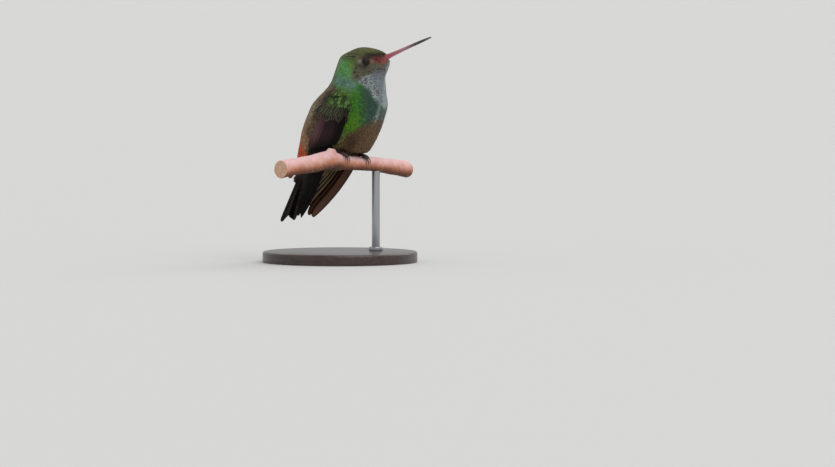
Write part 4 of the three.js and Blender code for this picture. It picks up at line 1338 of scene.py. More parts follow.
def scapular_roots():
    """Roots of the long feathers that fall from the back over the wing's rear edge: s and turn in degrees."""
    rows = []
    for i, s in enumerate(np.arange(17.4, 36, 0.75)):
        turn = np.arange(112 + 3 * (i % 2), 138, 6.0) - limit(s, (17, 12), (22, 2), (36, 0))
        rows.append(np.stack([s + 0 * turn, turn], -1))
    return np.vstack(rows).T


# ---- the operators


def settings():
    """The groups of settings, for plumage, flight feathers, bare parts and display."""
    scene = bpy.context.scene
    return scene.bird_plumage, scene.bird_flight, scene.bird_bare, scene.bird_display


class BIRD_OT_skin(bpy.types.Operator):
    """Build the skin that all small feathers are rooted on"""

    bl_idname = "bird.skin"
    bl_label = "Skin"

    def execute(self, context):
        plumage, _, bare, _ = settings()
        columns = 96
        dome = CROWN_DOME * (1 - np.cos(np.linspace(0.04, 1.5, 26)))
        s = np.concatenate([dome, np.arange(6.4, 57.2, 0.42)])
        phi = np.linspace(-np.pi, np.pi, columns, endpoint=False)
        s, phi = (k.ravel() for k in np.meshgrid(s, phi, indexing="ij"))
        crown = s < CHART_END
        normal = np.zeros((len(s), 3))
        for here, surface in ((crown, on_crown), (~crown, on_body)):
            a, b = crown_chart(s[here], phi[here]) if surface is on_crown else (s[here], phi[here])
            middle = turn_head(spine(s[here])[0] - UP * 2.0 * (s[here] < 3)[:, None])
            normal[here] = slopes(surface, a, b, surface(a, b) - middle)[2]
        p = on_body(s, phi) - normal * (coat_depth(s, phi, plumage) + 0.04)[:, None]
        for side, _ in SIDES:
            centre, radius = eye(side)
            far = np.linalg.norm(p - centre, axis=1)
            p = p - normal * (0.35 * fade(far, radius * 0.8, radius * 1.8))[:, None]
        tint = mix(coat_colours(s, phi, plumage)[0] * 0.45, np.array(bare.skin), 0.35 + 0 * s)
        uv = skin_place(s, phi)
        tint, uv = (np.vstack([rows, rows[:1], rows[-1:]]) for rows in (tint, uv))
        nodes = ("head", "neck", "trunk_upper", "trunk_lower", "tail_coverts")
        shape = tube(p.reshape(-1, columns, 3))
        put("skin", shape, skin_finish(), nodes, {"Tint": tint}, {"OFBake": uv})
        return {"FINISHED"}


class BIRD_OT_coat(bpy.types.Operator):
    """Lay the small feathers of head, neck, breast, back, belly and tail coverts"""

    bl_idname = "bird.coat"
    bl_label = "Coat"

    def execute(self, context):
        plumage = settings()[0]
        material = vane_finish("Plumage", 12.0, 0.55, 0.4, 0.75, 0.35)
        head_s, head_phi = spread_roots(coat_density, 7600, (0.02, 17.0), 11)
        body_s, body_phi = spread_roots(coat_density, 6600, (16.4, 56.6), 12)
        s, phi = np.append(head_s, body_s), np.append(head_phi, body_phi)
        s = np.clip(s, 0.02, 57.0)
        phi = np.mod(phi + np.pi, 2 * np.pi) - np.pi
        p = on_body(s, phi)
        apart = np.min([np.linalg.norm(p - eye(side)[0], axis=1) - eye(side)[1] for side, _ in SIDES], axis=0)
        keep = ~in_bill(s, phi) & (apart > -0.1) & (kept(s, phi) > 0.35)
        s, phi = s[keep], phi[keep]
        turn = np.degrees(np.abs(phi))
        regions = {
            "crown_feathers": (s < 8) & (turn > 75),
            "throat_feathers": (s >= 6) & (s < 17) & (turn <= 75),
            "neck_feathers": (s < 17) & (turn > 75) & (s >= 8),
            "breast_feathers": (s >= 17) & (s < 31) & (turn <= 95),
            "back_feathers": (s >= 17) & (turn > 95) & (s < 46),
            "belly_feathers": (s >= 31) & (turn <= 95) & (s < 46),
            "rump_and_vent_feathers": s >= 46,
            "face_feathers": (s < 6) & (turn <= 75),
        }
        self.bill_base(plumage, material)
        for seed, (name, here) in enumerate(regions.items()):
            coat_piece(name, s[here], phi[here], plumage, material, 100 + seed)
        return {"FINISHED"}

    def bill_base(self, plumage, material):
        """Tiny feathers that lie forwards over the base of the bill, longest on the chin."""
        rng = np.random.default_rng(31)
        rows = []
        for reach in np.arange(-0.6, 2.6, 0.28):
            turn = np.radians(np.arange(0, 360, 13) + rng.uniform(0, 13))
            ends = 0.5 + 0.9 * near(np.sin(turn), 1, 0.6) + 2.0 * near(np.sin(turn), -1, 0.9)
            rows.append(np.stack([reach + 0 * turn, turn])[:, reach < ends])
        reach, turn = np.hstack(rows)
        count = len(reach)
        reach, turn = reach + rng.normal(0, 0.07, count), turn + rng.normal(0, 0.04, count)
        p = on_bill(reach, turn)
        axis = turn_head(BILL_ROOT + reach[:, None] * BILL_LINE)
        forward = unit(on_bill(reach + 0.3, turn) - p)
        flow = forward + rng.normal(0, 0.12, (count, 3))
        under = smooth(-np.sin(turn), 0.1, 0.8)
        long = (1.1 + 0.5 * under) * rng.uniform(0.85, 1.15, count)
        lift = 0.1 + 0.22 * under
        shape, vane = vanes(on_bill, reach, turn, p - axis, flow, long, 0.26 * long, 0.25 + 0 * long, lift)
        tint = mix(np.array(plumage.gape) + 0 * flow, plumage.brow, smooth(np.sin(turn), 0.2, 0.9))
        tint = mix(mix(tint, plumage.chin, under), plumage.throat_edges_and_rim_light, under * smooth(reach, 0.2, 1.6))
        shade = rng.uniform(0.75, 1.2, (count, 1))
        colours = vane_colours(tint * shade, tint * shade * 1.3, 0 * reach)
        roots = np.stack([0.02 + 0.9 * np.mod(turn, 2 * np.pi) / 6.3, 0.005 + 0.01 * reach], -1)
        put("bill_base_feathers", shape, material, (), colours, vane_maps(vane, roots, count))


class BIRD_OT_wings(bpy.types.Operator):
    """Build both folded wings: arm, primaries, secondaries, coverts and the scapulars over them"""

    bl_idname = "bird.wings"
    bl_label = "Wings"

    def execute(self, context):
        plumage, flight = settings()[:2]
        blade = vane_finish("Flight feathers", 46.0, 0.6, 0.2, 0.45, 0.3, 0.08)
        covert = vane_finish("Wing coverts", 16.0, 0.55, 0.35, 0.9, 0.5, 0.14, 0.1)
        arm = skin_finish()
        for name, side in SIDES:
            rng = np.random.default_rng(40 + side)
            shape = arm_pad(side)
            tint = np.tile(np.array(flight.covert) * 0.4, (len(shape[0]), 1))
            uv = np.stack([0.5 + shape[0][:, 0] / 60, shape[0][:, 2] / 100], -1)
            node = (f"wing_{name}_shoulder",)
            put(f"wing_{name}_arm", shape, arm, node, {"Tint": tint}, {"OFBake": uv})
            primaries(name, side, rng, flight, blade)
            secondaries(name, side, rng, flight, blade)
            wing_coverts(name, side, rng, plumage, flight, covert)
            scapulars(name, side, rng, plumage, covert)
        return {"FINISHED"}


def primaries(name, side, rng, flight, material):
    """The ten long blades of a folded wing, with a paler strip underneath and a pale rear brightened as
    painted light.
    """
    count = len(PRIMARY_TIPS)
    shape, t, v, below = wing_blades(
        side, between([4.3, 50.6], [-2.8, 51.6], count), PRIMARY_TIPS,
        bows=between(2.3, 0.6, count), leads=between(0.6, 1.6, count), trails=between(2.8, 1.4, count),
        layers=between(0.0, 0.5, count), thick=0.7 * flight.blade / MM,
    )
    order = np.arange(count)[:, None]
    under = mix(np.array(flight.under) + 0.0 * order[..., None], flight.under_strip, near(order, 0.0, 0.7))
    # The pale rear is partly the feathers' own buff and partly painted light against their shadow.
    under = mix(under, flight.under_pale_and_lit, smooth(order, 1.2, 2.6))
    lead = (order < 1) * smooth(v, 0.0, 0.4)
    under = under + (np.array(flight.under_edge) - under) * lead[..., None]
    main, rim = (np.tile(np.array(tone), (count, 1)) for tone in (flight.dusky, flight.dusky_edge))
    colours = blade_colours(main, rim, under, t, below, rng)
    node = (f"wing_{name}_primaries",)
    maps = blade_maps(t, v, count)
    put(f"wing_{name}_primary_vanes", shape, material, node, colours, maps)


def secondaries(name, side, rng, flight, material):
    """The nine short blades over the primaries, from near-black in front, deepened as painted shade along the
    wing's front edge, to mauve-brown, with dark tips.
    """
    count = 9
    shape, t, v, below = wing_blades(
        side, between([7.4, 55.0], [-1.0, 55.0], count), between([3.7, 44.2], [-7.0, 42.8], count),
        bows=between(0.5, 0.2, count), leads=between(1.2, 1.4, count), trails=between(1.2, 1.4, count),
        layers=between(1.12, 1.4, count), thick=0.7 * flight.blade / MM, rows=18,
    )
    inward = np.linspace(0, 1, count)
    # The foremost blades are near-black partly as painted shade along the wing's front edge.
    fan = mix(np.array(flight.fan_front_and_shade), flight.fan, smooth(inward, 0.15, 0.42))
    fan = mix(fan, flight.fan_back, smooth(inward, 0.72, 1.0))
    rim = mix(fan, flight.fan_edge, 0.8 * smooth(inward, 0.3, 0.6))
    colours = blade_colours(fan, rim, np.array(flight.under), t, below, rng)
    dark_tip = 0.75 * smooth(np.tile(t, count), 0.5, 1.0)[:, None]
    for key in ("Tint", "Edge"):
        colours[key][:, :3] += (np.array(flight.dusky) - colours[key][:, :3]) * dark_tip
    node = (f"wing_{name}_secondaries",)
    maps = blade_maps(t, v, count)
    put(f"wing_{name}_secondary_vanes", shape, material, node, colours, maps)


def wing_coverts(name, side, rng, plumage, flight, material):
    """The coverts over the arm: green and spotted on the shoulder, dark with pale edges below it."""
    x, z, long, half, layer, depth, q = covert_rows().T
    count = len(x)
    x, z = x + rng.normal(0, 0.1, count), z + rng.normal(0, 0.1, count)
    flow = places(-0.3 - 0.1 * (1 - q), 0, -0.94) + rng.normal(0, 0.07, (count, 3))
    long = long * rng.uniform(0.92, 1.08, count)
    tip_x, tip_z = x - 0.33 * long, z - 0.94 * long
    over_quills = (2.0 - pad_layer(tip_x, tip_z)) * smooth(57.0 - tip_z, 0, 1.6)
    lift = np.maximum(layer + 0.08, over_quills)
    outward = places(0 * x, side, 0)
    shape, vane = vanes(on_wing(side, pad_layer), x, z, outward, flow, long, half, depth, lift, 0.12, 0.05)
    upper = smooth(z, 58.4, 61.8) * smooth(q, 0.08, 0.42)
    shade = rng.uniform(0.75, 1.25, (count, 1))
    # Coverts towards the wing's front edge are darkened towards the near-black front colour as painted shade.
    dark = smooth(q, 0.72, 0.97) * (1 - upper)
    tint = mix(np.array(flight.covert) + 0 * shade, plumage.shoulder, 0.85 * upper)
    tint = mix(tint, plumage.dark_spots_and_gap_shade, 0.8 * upper * (rng.uniform(0, 1, count) > 0.62))
    tint = mix(tint, flight.fan_front_and_shade, 0.8 * dark) * shade
    edge = mix(np.array(flight.covert_edge) + 0 * shade, plumage.olive, 0.7 * upper)
    edge = mix(edge, flight.covert, 0.75 * dark + (1 - dark) * rng.uniform(0, 0.4, count)) * shade
    colours = vane_colours(tint, edge, 0.15 + 0.35 * upper)
    maps = vane_maps(vane, np.stack([0.25 + 0.5 * (side > 0) + x / 60, z / 100], -1), count)
    put(f"wing_{name}_covert_feathers", shape, material, (), colours, maps)


def scapulars(name, side, rng, plumage, material):
    """The long feathers that fall from the back over the wing's rear edge, standing off the body there."""
    s, turn = scapular_roots()
    count = len(s)
    s, turn = s + rng.normal(0, 0.15, count), turn + rng.normal(0, 1.0, count)
    phi = side * np.radians(turn)
    outward = on_body(s, phi) - turn_head(spine(s)[0])
    down = unit(on_body(s + 0.3, phi) - on_body(s - 0.3, phi))
    forward = unit(np.cross(unit(outward), down)) * -side
    flow = down + forward * rng.normal(0.3, 0.1, (count, 1))
    long = np.interp(s, [17, 22, 30, 36], [3.0, 4.2, 5.2, 4.6]) * rng.uniform(0.9, 1.1, count)
    lift = 1.45 * fade(turn, 120, 136) * (1 - 0.5 * smooth(s, 31, 36)) + 0.15
    shape, vane = vanes(on_body, s, phi, outward, flow, long, long * 0.2, 0.5 + 0 * s, lift, 0.1, 0.05)
    tint, edge, gloss = coat_colours(s, phi, plumage)
    # gap: painted shade where the scapulars meet the wing, laid on with the dark-spot colour.
    gap = 0.9 * near(s, 19.5, 3.0) * near(turn, 128, 8)
    low = np.maximum(smooth(s, 19, 23), smooth(turn, 116, 128))
    tint = mix(mix(tint, plumage.back, 0.7 * low) * 0.85, plumage.dark_spots_and_gap_shade, gap)
    edge = mix(mix(edge, plumage.back_edge, 0.7 * low), plumage.dark_spots_and_gap_shade, gap)
    shade = rng.uniform(0.75, 1.25, (count, 1))
    colours = vane_colours(tint * shade, edge * shade, gloss)
    maps = vane_maps(vane, skin_place(s, phi), count)
    put(f"scapulars_{name}", shape, material, (), colours, maps)


def on_tail(down, sideways, up):
    """A place in the tail's own frame: down the tail, sideways, and up from its plane."""
    sin, cos = np.sin(TAIL_LEAN), np.cos(TAIL_LEAN)
    return places(TAIL_ROOT[0] - sin * down - cos * up, sideways, TAIL_ROOT[1] - cos * down + sin * up)


class BIRD_OT_tail(bpy.types.Operator):
    """Build the ten tail feathers, the central pair on top"""

    bl_idname = "bird.tail"
    bl_label = "Tail"

    def execute(self, context):
        flight = settings()[1]
        rng = np.random.default_rng(7)
        thick = flight.blade / MM * 0.6
        t = 1 - (1 - np.linspace(0, 0.975, 24)) ** 1.6
        v = BLADE_ACROSS
        rings, ends = [], []
        for pair in range(TAIL_PAIRS):
            for _, side in SIDES:
                outer = pair / (TAIL_PAIRS - 1)
                run = TAIL_SHORTEST + (TAIL_LONGEST - TAIL_SHORTEST) * outer**0.8
                up = -TAIL_ARCH * pair - (0.05 if side < 0 else 0) + 0.12
                wide = TAIL_HALF_VANE * (0.6 + 0.4 * t) * np.sqrt(1 - np.clip((t - 0.86) / 0.14, 0, 1) ** 3)
                root_aside = TAIL_ROOT_INNER + (TAIL_ROOT_HALF - TAIL_ROOT_INNER) * outer
                tip_aside = TAIL_TIP_INNER + (TAIL_TIP_HALF - TAIL_TIP_INNER) * outer
                reach = root_aside * (1 - t) + tip_aside * t
                bulge = thick * (0.3 + 0.7 * (1 - np.abs(v))) + 0.08 * near(v, 0, 0.09)
                lift = np.where(BLADE_SIDE == 1, 0, bulge) - 0.1 * np.abs(v) + 0.06 * side * v
                y = side * reach[:, None] + v * wide[:, None]
                rings.append(on_tail(run * t[:, None] + 0 * y, y, up + lift + 0 * y))
                tips = np.array([0.0, 1.0])
                end_y = side * np.array([root_aside, tip_aside])
                ends.append(on_tail(run * tips, end_y, up + 0.05 + 0 * tips))
        count = len(rings)
        grid_t, grid_v, below = blade_grid(t)
        # The chestnut is near-black as painted shade; the darker tips are the feathers' own dusky ends.
        main, rim = np.array(flight.tail), np.array(flight.tail_edge)
        whole = np.ones((count, 1))
        colours = blade_colours(main * whole, rim * whole, main * 1.3, grid_t, below, rng)
        dark = smooth(np.tile(grid_t, count), 0.55, 0.95)[:, None]
        colours["Tint"][:, :3] = colours["Tint"][:, :3] * (1 - dark) + rim * dark
        material = vane_finish("Tail feathers", 60.0, 0.6, 0.2, 0.8, 0.2, 0.08)
        shape, maps = closed(np.array(rings), np.array(ends)), blade_maps(grid_t, grid_v, count)
        put("tail_feathers", shape, material, ("tail",), colours, maps)
        return {"FINISHED"}


class BIRD_OT_bill(bpy.types.Operator):
    """Build both mandibles of the closed bill"""

    bl_idname = "bird.bill"
    bl_label = "Bill"

    def execute(self, context):
        bare = settings()[2]
        material = horn_finish("Bill", 0.34, 2.0)
        t = np.concatenate([np.linspace(-0.05, 0.9, 56), np.linspace(0.91, 1, 10)])[:, None]
        for name, side in (("upper", 1), ("lower", -1)):
            turn = np.linspace(0, np.pi, 19)[None]
            reach = np.maximum(t, 0)
            wide, deep = np.moveaxis(through(BILL, reach), -1, 0)
            ridge = 0.06 * near(turn, np.pi / 2, 0.35) * (1 - reach) * (side > 0)
            groove = 0.12 * near(t, 0.07, 0.05) * near(np.abs(turn - np.pi / 2), 0.75, 0.28) * (side > 0)
            y = wide * np.cos(turn) * (1 - groove)
            up = side * (BILL_SEAM / 2 + (deep - BILL_SEAM / 2) * np.sin(turn) * (1 + ridge - groove))
            run = t * BILL_LENGTH
            drop = BILL_DROOP * reach**2
            x = BILL_ROOT[0] + run * np.cos(BILL_RISE) + drop * np.sin(BILL_RISE) - up * np.sin(BILL_RISE)
            z = BILL_ROOT[2] + run * np.sin(BILL_RISE) - drop * np.cos(BILL_RISE) + up * np.cos(BILL_RISE)
            rings = turn_head(places(x, y, z))
            stops = [0, 0.12, 0.5, 0.72, 1]
            dark = 0.85 if side > 0 else 1.0
            tones = np.array([bare.bill_base, bare.bill_base, bare.bill_middle, bare.bill_tip, bare.bill_tip])
            along = np.append(np.repeat(reach[:, 0], 19), [0, 1])
            tint = np.stack([np.interp(along, stops, tones[:, k]) for k in range(3)], -1) * dark
            half_turn = np.append(np.tile(turn[0] / np.pi, len(t)), [0.5, 0.5])
            maps = {"OFBake": np.stack([0.1 + 0.35 * half_turn, along * 0.9 + 0.05], -1)}
            put(f"mandible_{name}", tube(rings), material, (f"bill_{name}",), {"Tint": tint}, maps)
        return {"FINISHED"}


def eyeball(name, centre, radius, out, fore, rise, iris, material):
    """A ball whose pole looks out, black but for a ring of iris round the pupil."""
    sides = 36
    polar = np.linspace(0.05, np.pi - 0.05, 28)[:, None]
    turn = full_turn(sides)[None]
    spoke = fore * np.cos(turn)[..., None] + rise * np.sin(turn)[..., None]
    ball = centre + radius * (out * np.cos(polar)[..., None] + spoke * np.sin(polar)[..., None])
    shape = closed(ball[None], (centre + radius * out * np.array([[1.0], [-1.0]]))[None])
    polar = np.append(np.repeat(polar[:, 0], sides), [0, np.pi])
    ring = smooth(polar, 0.42, 0.5) * fade(polar, 0.72, 0.85)
    tint = mix(np.full((len(polar), 3), 0.004), np.array(iris), ring)
    put(f"eyeball_{name}", shape, material, (f"eye_{name}",), {"Tint": tint})


def eyelid(name, side, centre, radius, out, fore, rise, lid, plumage, material):
    """A soft ring round the eye's opening, over the ball and out to the feathers, with a few fine folds.

    The opening is an oval with fuller corners: the power sum of cosine and sine, each over its half width.
    """
    sides, lens_sides = 72, 24
    turn = full_turn(sides)[:, None]
    lens = full_turn(lens_sides)[None]
    wide, high = EYE_OPEN
    oval = np.abs(np.cos(turn)) ** EYE_CORNERS + np.abs(np.sin(turn) * wide / high) ** EYE_CORNERS
    inner = wide * oval ** (-1 / EYE_CORNERS) + 0.02 * np.cos(turn * 17)
    reach = (LID_REACH + inner) / 2 + (LID_REACH - inner) / 2 * np.cos(lens)
    bend = np.minimum(reach, radius * 0.86)
    dome = np.sqrt(radius**2 - bend**2) - (reach - bend) * 1.5
    folds = 0.035 * np.cos(np.pi * 5 * np.cos(lens)) * (0.6 + 0.4 * np.sin(turn * 3 + 1)) * (np.sin(lens) > 0)
    height = dome + 0.04 + (0.11 * np.sqrt(np.abs(np.sin(lens))) + folds) * np.sign(np.sin(lens))
    spoke = fore * np.cos(turn)[..., None] + rise * np.sin(turn)[..., None]
    points = (centre + spoke * reach[..., None] + out * height[..., None]).reshape(-1, 3)
    grid = np.arange(len(points)).reshape(sides, lens_sides)
    ahead, beside = np.roll(grid, -1, 0), np.roll(grid, -1, 1)
    quads = np.stack([grid, ahead, np.roll(ahead, -1, 1), beside], -1).reshape(-1, 4)
    if side < 0:
        quads = quads[:, ::-1]
    rear = (np.repeat(near(turn, np.pi * 1.05, 0.9), lens_sides, 1) * smooth(reach, 1.2, 1.6)).ravel()
    front = np.repeat(fade(np.minimum(turn, 2 * np.pi - turn), 0.2, 0.8), lens_sides)
    tint = mix(np.array(lid) + 0 * points, plumage.pale_spot, 0.6 * rear)
    tint = mix(tint, plumage.lores, 0.5 * front)
    vane = np.stack([np.tile(lens[0] / 6.3, sides), np.repeat(turn[:, 0] / 6.3, lens_sides)], -1)
    shape = (points, quads, np.zeros((0, 3), int))
    put(f"eyelid_{name}", shape, material, (), {"Tint": tint}, {"Vane": vane})


class BIRD_OT_eyes(bpy.types.Operator):
    """Build eyeballs and the lids round them"""

    bl_idname = "bird.eyes"
    bl_label = "Eyes"

    def execute(self, context):
        plumage, _, bare, _ = settings()
        glass, lid_skin = eye_finish(), skin_finish("Eyelid skin")
        for name, side in SIDES:
            centre, radius = eye(name)
            a, b = np.array([EYE_S]), np.array([side * EYE_PHI])
            out = slopes(on_body, a, b, on_body(a, b) - turn_head(spine(a)[0]))[2][0]
            fore = unit(np.array([1.0, 0.25, 0.1]) - out * out[0])
            fore = unit(fore - out * np.dot(fore, out))
            rise = np.cross(out, fore)
            eyeball(name, centre, radius, out, fore, rise, bare.iris, glass)
            eyelid(name, side, centre, radius, out, fore, rise, bare.lid, plumage, lid_skin)
        return {"FINISHED"}


def limb(path, radius, sides=12, squash=1.0):
    """A tube along a path of places, with a radius at each; its rings stand square to the path."""
    path = np.asarray(path, float)
    ahead = unit(np.gradient(path, axis=0))
    first = unit(np.cross(ahead, ACROSS + np.array([0, 0, 0.3])))
    second = np.cross(ahead, first)
    turn = full_turn(sides)
    cos, sin = np.cos(turn)[None, :, None], np.sin(turn)[None, :, None]
    ring = first[:, None] * cos + second[:, None] * sin * squash
    return path[:, None] + ring * np.asarray(radius)[:, None, None]


def limb_map(rows, sides, last=1.0):
    """Turn round a tube and way along it, up to a last value, with both end points in the middle."""
    along = np.repeat(np.linspace(0, last, rows), sides)
    rings = np.stack([np.tile(np.arange(sides) / sides, rows), along], -1)
    return np.vstack([rings, [[0.5, 0], [0.5, last]]])


def toe(t, out, start, end, drift):
    """A toe that winds round the branch: swollen at its joints, ringed with scutes, round at both ends."""
    u = np.linspace(0, 1, 40)
    path = by_perch(t + drift * u * (1.6 - 0.6 * u), out + 0 * u, start + (end - start) * u)
    joints = 1 + 0.12 * np.abs(np.sin(np.pi * u * 3)) + 0.035 * np.sin(u * 60) * (u > 0.05)
    round_ends = np.sqrt(np.clip(1 - (2 * np.abs(u - 0.5)) ** 14, 0.15, 1))
    return tube(limb(path, TOE_RADIUS * (1.1 - 0.2 * u) * joints * round_ends))


def claw(t, out, end, onwards):
    """A curved claw on the end of a toe: arched off the bark in the middle and pointed at its tip."""
    u = np.linspace(0, 1, 16)
    arc = np.degrees(CLAW_LENGTH / out)
    turn = end + onwards * ((arc + 11) * u - 1.5)
    path = by_perch(t + 0 * u, out + 0.25 * np.sin(np.pi * u) - 0.12 * u, turn)
    return tube(limb(path, 0.34 - 0.3 * u**0.8, 10, 0.8))


class BIRD_OT_feet(bpy.types.Operator):
    """Build legs, toes and claws round the branch"""

    bl_idname = "bird.feet"
    bl_label = "Feet"

    def execute(self, context):
        bare = settings()[2]
        skin, horn = scute_finish("Toe skin", 0.5), horn_finish("Claw horn", 0.3, 3.0, 0.3)
        for name, side in SIDES:
            t = FOOT_MIDDLE + FOOT_SPREAD * side
            out = through(PERCH, np.array([t]))[0, 1] + TOE_RADIUS + TOE_OFF
            shapes, maps = [], []
            for key, (start, end, drift) in TOES.items():
                shapes.append(toe(t, out, start, end, drift))
                maps.append(limb_map(40, 12))
                shape = claw(t + drift, out, end, np.sign(end - start))
                self.place(f"claw_{name}_{key}", "horn", shape, horn, "claw", bare.claw)
            ankle = by_perch(np.array([t]), np.array([out + 0.05]), 106.0)[0]
            polar = np.linspace(0.1, np.pi - 0.1, 10)
            knuckle = ankle + np.outer(np.cos(polar), UP) * TOE_RADIUS * 1.35
            shapes.append(tube(limb(knuckle, np.sin(polar) * TOE_RADIUS * 1.35)))
            maps.append(limb_map(10, 12, 0.2))
            vane = {"Vane": np.vstack(maps)}
            self.place(f"foot_{name}", "skin", joined(shapes), skin, "foot_skin", bare.toe, vane)
            h = np.linspace(0.5, 5.0, 30)
            path = ankle + places(-0.42 * h, side * 0.1 * h, 0.9 * h)
            shape = tube(limb(path, 0.46 + 0.03 * h + 0.02 * np.sin(h * 9)))
            vane = {"Vane": limb_map(30, 12)}
            self.place(f"leg_{name}", "skin", shape, skin, "foot_skin", bare.toe, vane)
        return {"FINISHED"}

    def place(self, node, what, shape, material, slot, tone, maps=None):
        """Puts in a piece of one colour that stands for one node and is named after it."""
        tint = np.tile(np.array(tone), (len(shape[0]), 1))
        put(f"{node}_{what}", shape, material, (node,), {"Tint": tint}, maps)


def bark_waves(t, angle):
    """Low swellings of the bark: three sines that run both along the branch and round it."""
    long_waves = np.sin(t * 0.9 + 2 * angle) + np.sin(t * 0.47 - 3 * angle + 1)
    return long_waves + 0.6 * np.sin(t * 2.3 + 5 * angle + 2)


def stub_swell(stub, t, radius, lean):
    """Swelling over a stub on one side of the branch: a flat-topped bell with a dip and a lip round that."""
    facing = np.cos(lean) > 0
    far = np.hypot(t - stub["at"], radius * np.sin(lean))
    grow = stub["out"] * np.exp(-((far / (stub["radius"] * 0.72)) ** 3)) * facing
    dip = 0.3 * stub["out"] * near(far, 0, stub["radius"] * 0.28) * facing
    lip = 0.12 * stub["out"] * near(far, stub["radius"] * 0.5, 0.25) * facing
    return grow - dip + lip


class BIRD_OT_perch(bpy.types.Operator):
    """Build the cut branch with its knot, spur and cut ends"""

    bl_idname = "bird.perch"
    bl_label = "Branch"

    def execute(self, context):
        first, last = PERCH[0, 0], PERCH[-1, 0]
        edge, rim = np.array([0, 0.12, 0.35]), 0.35
        middle = np.linspace(first + 2 * rim, last - 2 * rim, 230)
        t = np.concatenate([first + edge, middle, last - edge[::-1]])[:, None]
        turn = np.arange(0, 360, 7.2)[None]
        chamfer = np.minimum(np.minimum(t - first, last - t), rim)
        radius = through(PERCH, t)[..., 1] + 0 * turn - 0.22 * (1 - chamfer / rim) ** 2
        radius = radius - 0.05 + 0.035 * bark_waves(t, np.radians(turn))
        for stub, upward in ((KNOT, 90), (SPUR, 270)):
            radius = radius + stub_swell(stub, t, radius, np.radians(turn - upward))
        points = by_perch(t + 0 * turn, radius, turn + 0 * t)
        shrink = np.array([0.999, 0.7, 0.35, 0.1])
        caps = []
        for ring in (points[0], points[-1]):
            centre = ring.mean(0)
            caps.append([centre + (ring - centre) * k for k in shrink])
        shape = tube(np.concatenate([np.array(caps[0][::-1]), points, np.array(caps[1])]))
        aside = radius * np.sin(np.radians(turn - 90))
        scar = np.exp(-((np.hypot(t - KNOT["at"], aside) / 1.0) ** 4)) * (turn < 180)
        sawn = np.ones(len(shrink) * turn.shape[1])
        flags = np.concatenate([sawn, 0.75 * scar.ravel(), sawn, [1, 1]])
        cut = {"Cut": np.repeat(flags[:, None], 3, axis=1)}
        put("branch", shape, bark_finish(settings()[3]), ("perch",), cut)
        return {"FINISHED"}


def lathe(profile, x, y, sides=96):
    """A closed solid of revolution round an upright line, over a profile of radii and heights."""
    profile = np.array(profile, float)
    turn = full_turn(sides)
    radius, height = profile[:, :1], profile[:, 1:]
    return tube(places(x + radius * np.cos(turn), y + radius * np.sin(turn), height + 0 * turn))


def rounded(radius, low, high, bevel, steps=6):
    """Profile of a turned disc with rounded rims, from its underside to its top."""
    quarter = np.linspace(0, np.pi / 2, steps)
    sin, cos, small = np.sin(quarter), np.cos(quarter), bevel * 0.4
    foot = np.stack([radius - small * (1 - sin), low + small * (1 - cos)], -1)
    head = np.stack([radius - bevel * (1 - cos), high - bevel * (1 - sin)], -1)
    inner = np.array([[0.01, 0], [radius * 0.5, 0]])
    return np.vstack([inner + [0, low], foot, head, inner[::-1] * [1, 0] + [0, high]])


class BIRD_OT_stand(bpy.types.Operator):
    """Build the display stand: base, rod and collar"""

    bl_idname = "bird.stand"
    bl_label = "Stand"

    def execute(self, context):
        display = settings()[3]
        wood, steel = wood_finish(display), steel_finish(display)
        for node, name, material, slot, bevel in (
            ("stand_base", "stand_base_wood", wood, "stand_wood", 0.8),
            ("stand_rod", "stand_rod_steel", steel, "stand_steel", 0.15),
            ("stand_collar", "stand_collar_steel", steel, "stand_steel", 0.3),
        ):
            low, high = (np.array(corner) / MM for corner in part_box(node))
            x, y = (low[:2] + high[:2]) / 2
            radius = (high[0] - low[0]) / 2
            put(name, lathe(rounded(radius, low[2], high[2], bevel), x, y), material, (node,))
        return {"FINISHED"}


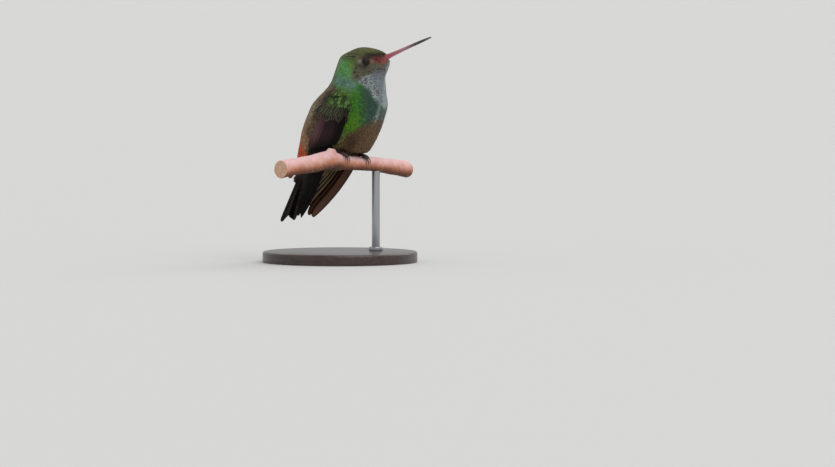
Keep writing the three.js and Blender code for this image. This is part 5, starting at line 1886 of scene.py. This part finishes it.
class BIRD_OT_stage(bpy.types.Operator):
    """Lay the floor, hang the lights and set the camera"""

    bl_idname = "bird.stage"
    bl_label = "Stage"

    def execute(self, context):
        display = settings()[3]
        scene = context.scene
        sides = 64
        turn = full_turn(sides)
        radius = np.array([20.0, 200, 1000, 4000, 14000])[:, None]
        rings = places(radius * np.cos(turn), radius * np.sin(turn), 0)
        points, quads, tris = tube(rings)
        floor = bpy.data.meshes.new("floor")
        tris = tris[:sides]  # the middle; the outer rim stays open
        floor.from_pydata((points[:-1] * MM).tolist(), [], quads.tolist() + tris.tolist())
        floor.materials.append(floor_finish(display))
        ground = bpy.data.objects.new("floor", floor)
        scene.collection.objects.link(ground)

        world = bpy.data.worlds.new("studio")
        world.use_nodes = True
        world.node_tree.nodes["Background"].inputs[0].default_value = (0.97, 0.985, 1.0, 1)
        world.node_tree.nodes["Background"].inputs[1].default_value = 0.7
        scene.world = world
        for name, energy, angle, place, tone in (
            ("key", 1.3, 50, (0.75, -0.5, 1.1), (1.0, 0.98, 0.95)),
            ("rim", 0.7, 40, (0.4, 1.0, 0.9), (0.95, 0.98, 1.0)),
        ):
            light = bpy.data.lights.new(name, "SUN")
            light.energy, light.angle, light.color = energy, np.radians(angle), tone
            lamp = bpy.data.objects.new(name, light)
            self.hang(lamp, place)

        back = np.array([
            np.sin(display.azimuth) * np.cos(display.elevation),
            -np.cos(display.azimuth) * np.cos(display.elevation),
            np.sin(display.elevation),
        ])
        right = unit(np.cross(UP, back))
        aim = right * display.aside + np.cross(back, right) * display.above
        camera = bpy.data.cameras.new("camera")
        camera.sensor_width = 36
        camera.lens = camera.sensor_width * display.distance / display.view_width
        camera.clip_start, camera.clip_end = 0.1, 60
        eye_point = bpy.data.objects.new("camera", camera)
        eye_point.location = aim + back * display.distance
        self.hang(eye_point, back)
        scene.camera = eye_point
        scene.view_settings.view_transform = "Standard"
        return {"FINISHED"}

    def hang(self, thing, back):
        """Puts a lamp or camera into the scene with its back in a direction."""
        thing.rotation_mode = "QUATERNION"
        thing.rotation_quaternion = mathutils.Vector(back).to_track_quat("Z", "Y")
        bpy.context.scene.collection.objects.link(thing)


STEPS = (
    BIRD_OT_skin, BIRD_OT_coat, BIRD_OT_wings, BIRD_OT_tail, BIRD_OT_bill, BIRD_OT_eyes, BIRD_OT_feet,
    BIRD_OT_perch, BIRD_OT_stand, BIRD_OT_stage,
)
GROUPS = {
    "bird_plumage": PlumageSettings,
    "bird_flight": FlightSettings,
    "bird_bare": BareSettings,
    "bird_display": DisplaySettings,
}


class BIRD_PT_panel(bpy.types.Panel):
    """Lists the steps that build the hummingbird, and the sizes and colours they use"""

    bl_label = "Hummingbird"
    bl_space_type = "VIEW_3D"
    bl_region_type = "UI"
    bl_category = "Hummingbird"

    def draw(self, context):
        for step in STEPS:
            self.layout.operator(step.bl_idname)
        for key, group in GROUPS.items():
            box = self.layout.box()
            for name in group.__annotations__:
                box.prop(getattr(context.scene, key), name)


def register():
    for group in GROUPS.values():
        bpy.utils.register_class(group)
    for cls in (*STEPS, BIRD_PT_panel):
        bpy.utils.register_class(cls)
    for key, group in GROUPS.items():
        setattr(bpy.types.Scene, key, bpy.props.PointerProperty(type=group))


def unregister():
    for key in GROUPS:
        delattr(bpy.types.Scene, key)
    for cls in (BIRD_PT_panel, *reversed(STEPS), *GROUPS.values()):
        bpy.utils.unregister_class(cls)


def main():
    register()
    for step in STEPS:
        group, name = step.bl_idname.split(".")
        getattr(getattr(bpy.ops, group), name)()
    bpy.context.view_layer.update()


if __name__ == "__main__":
    main()
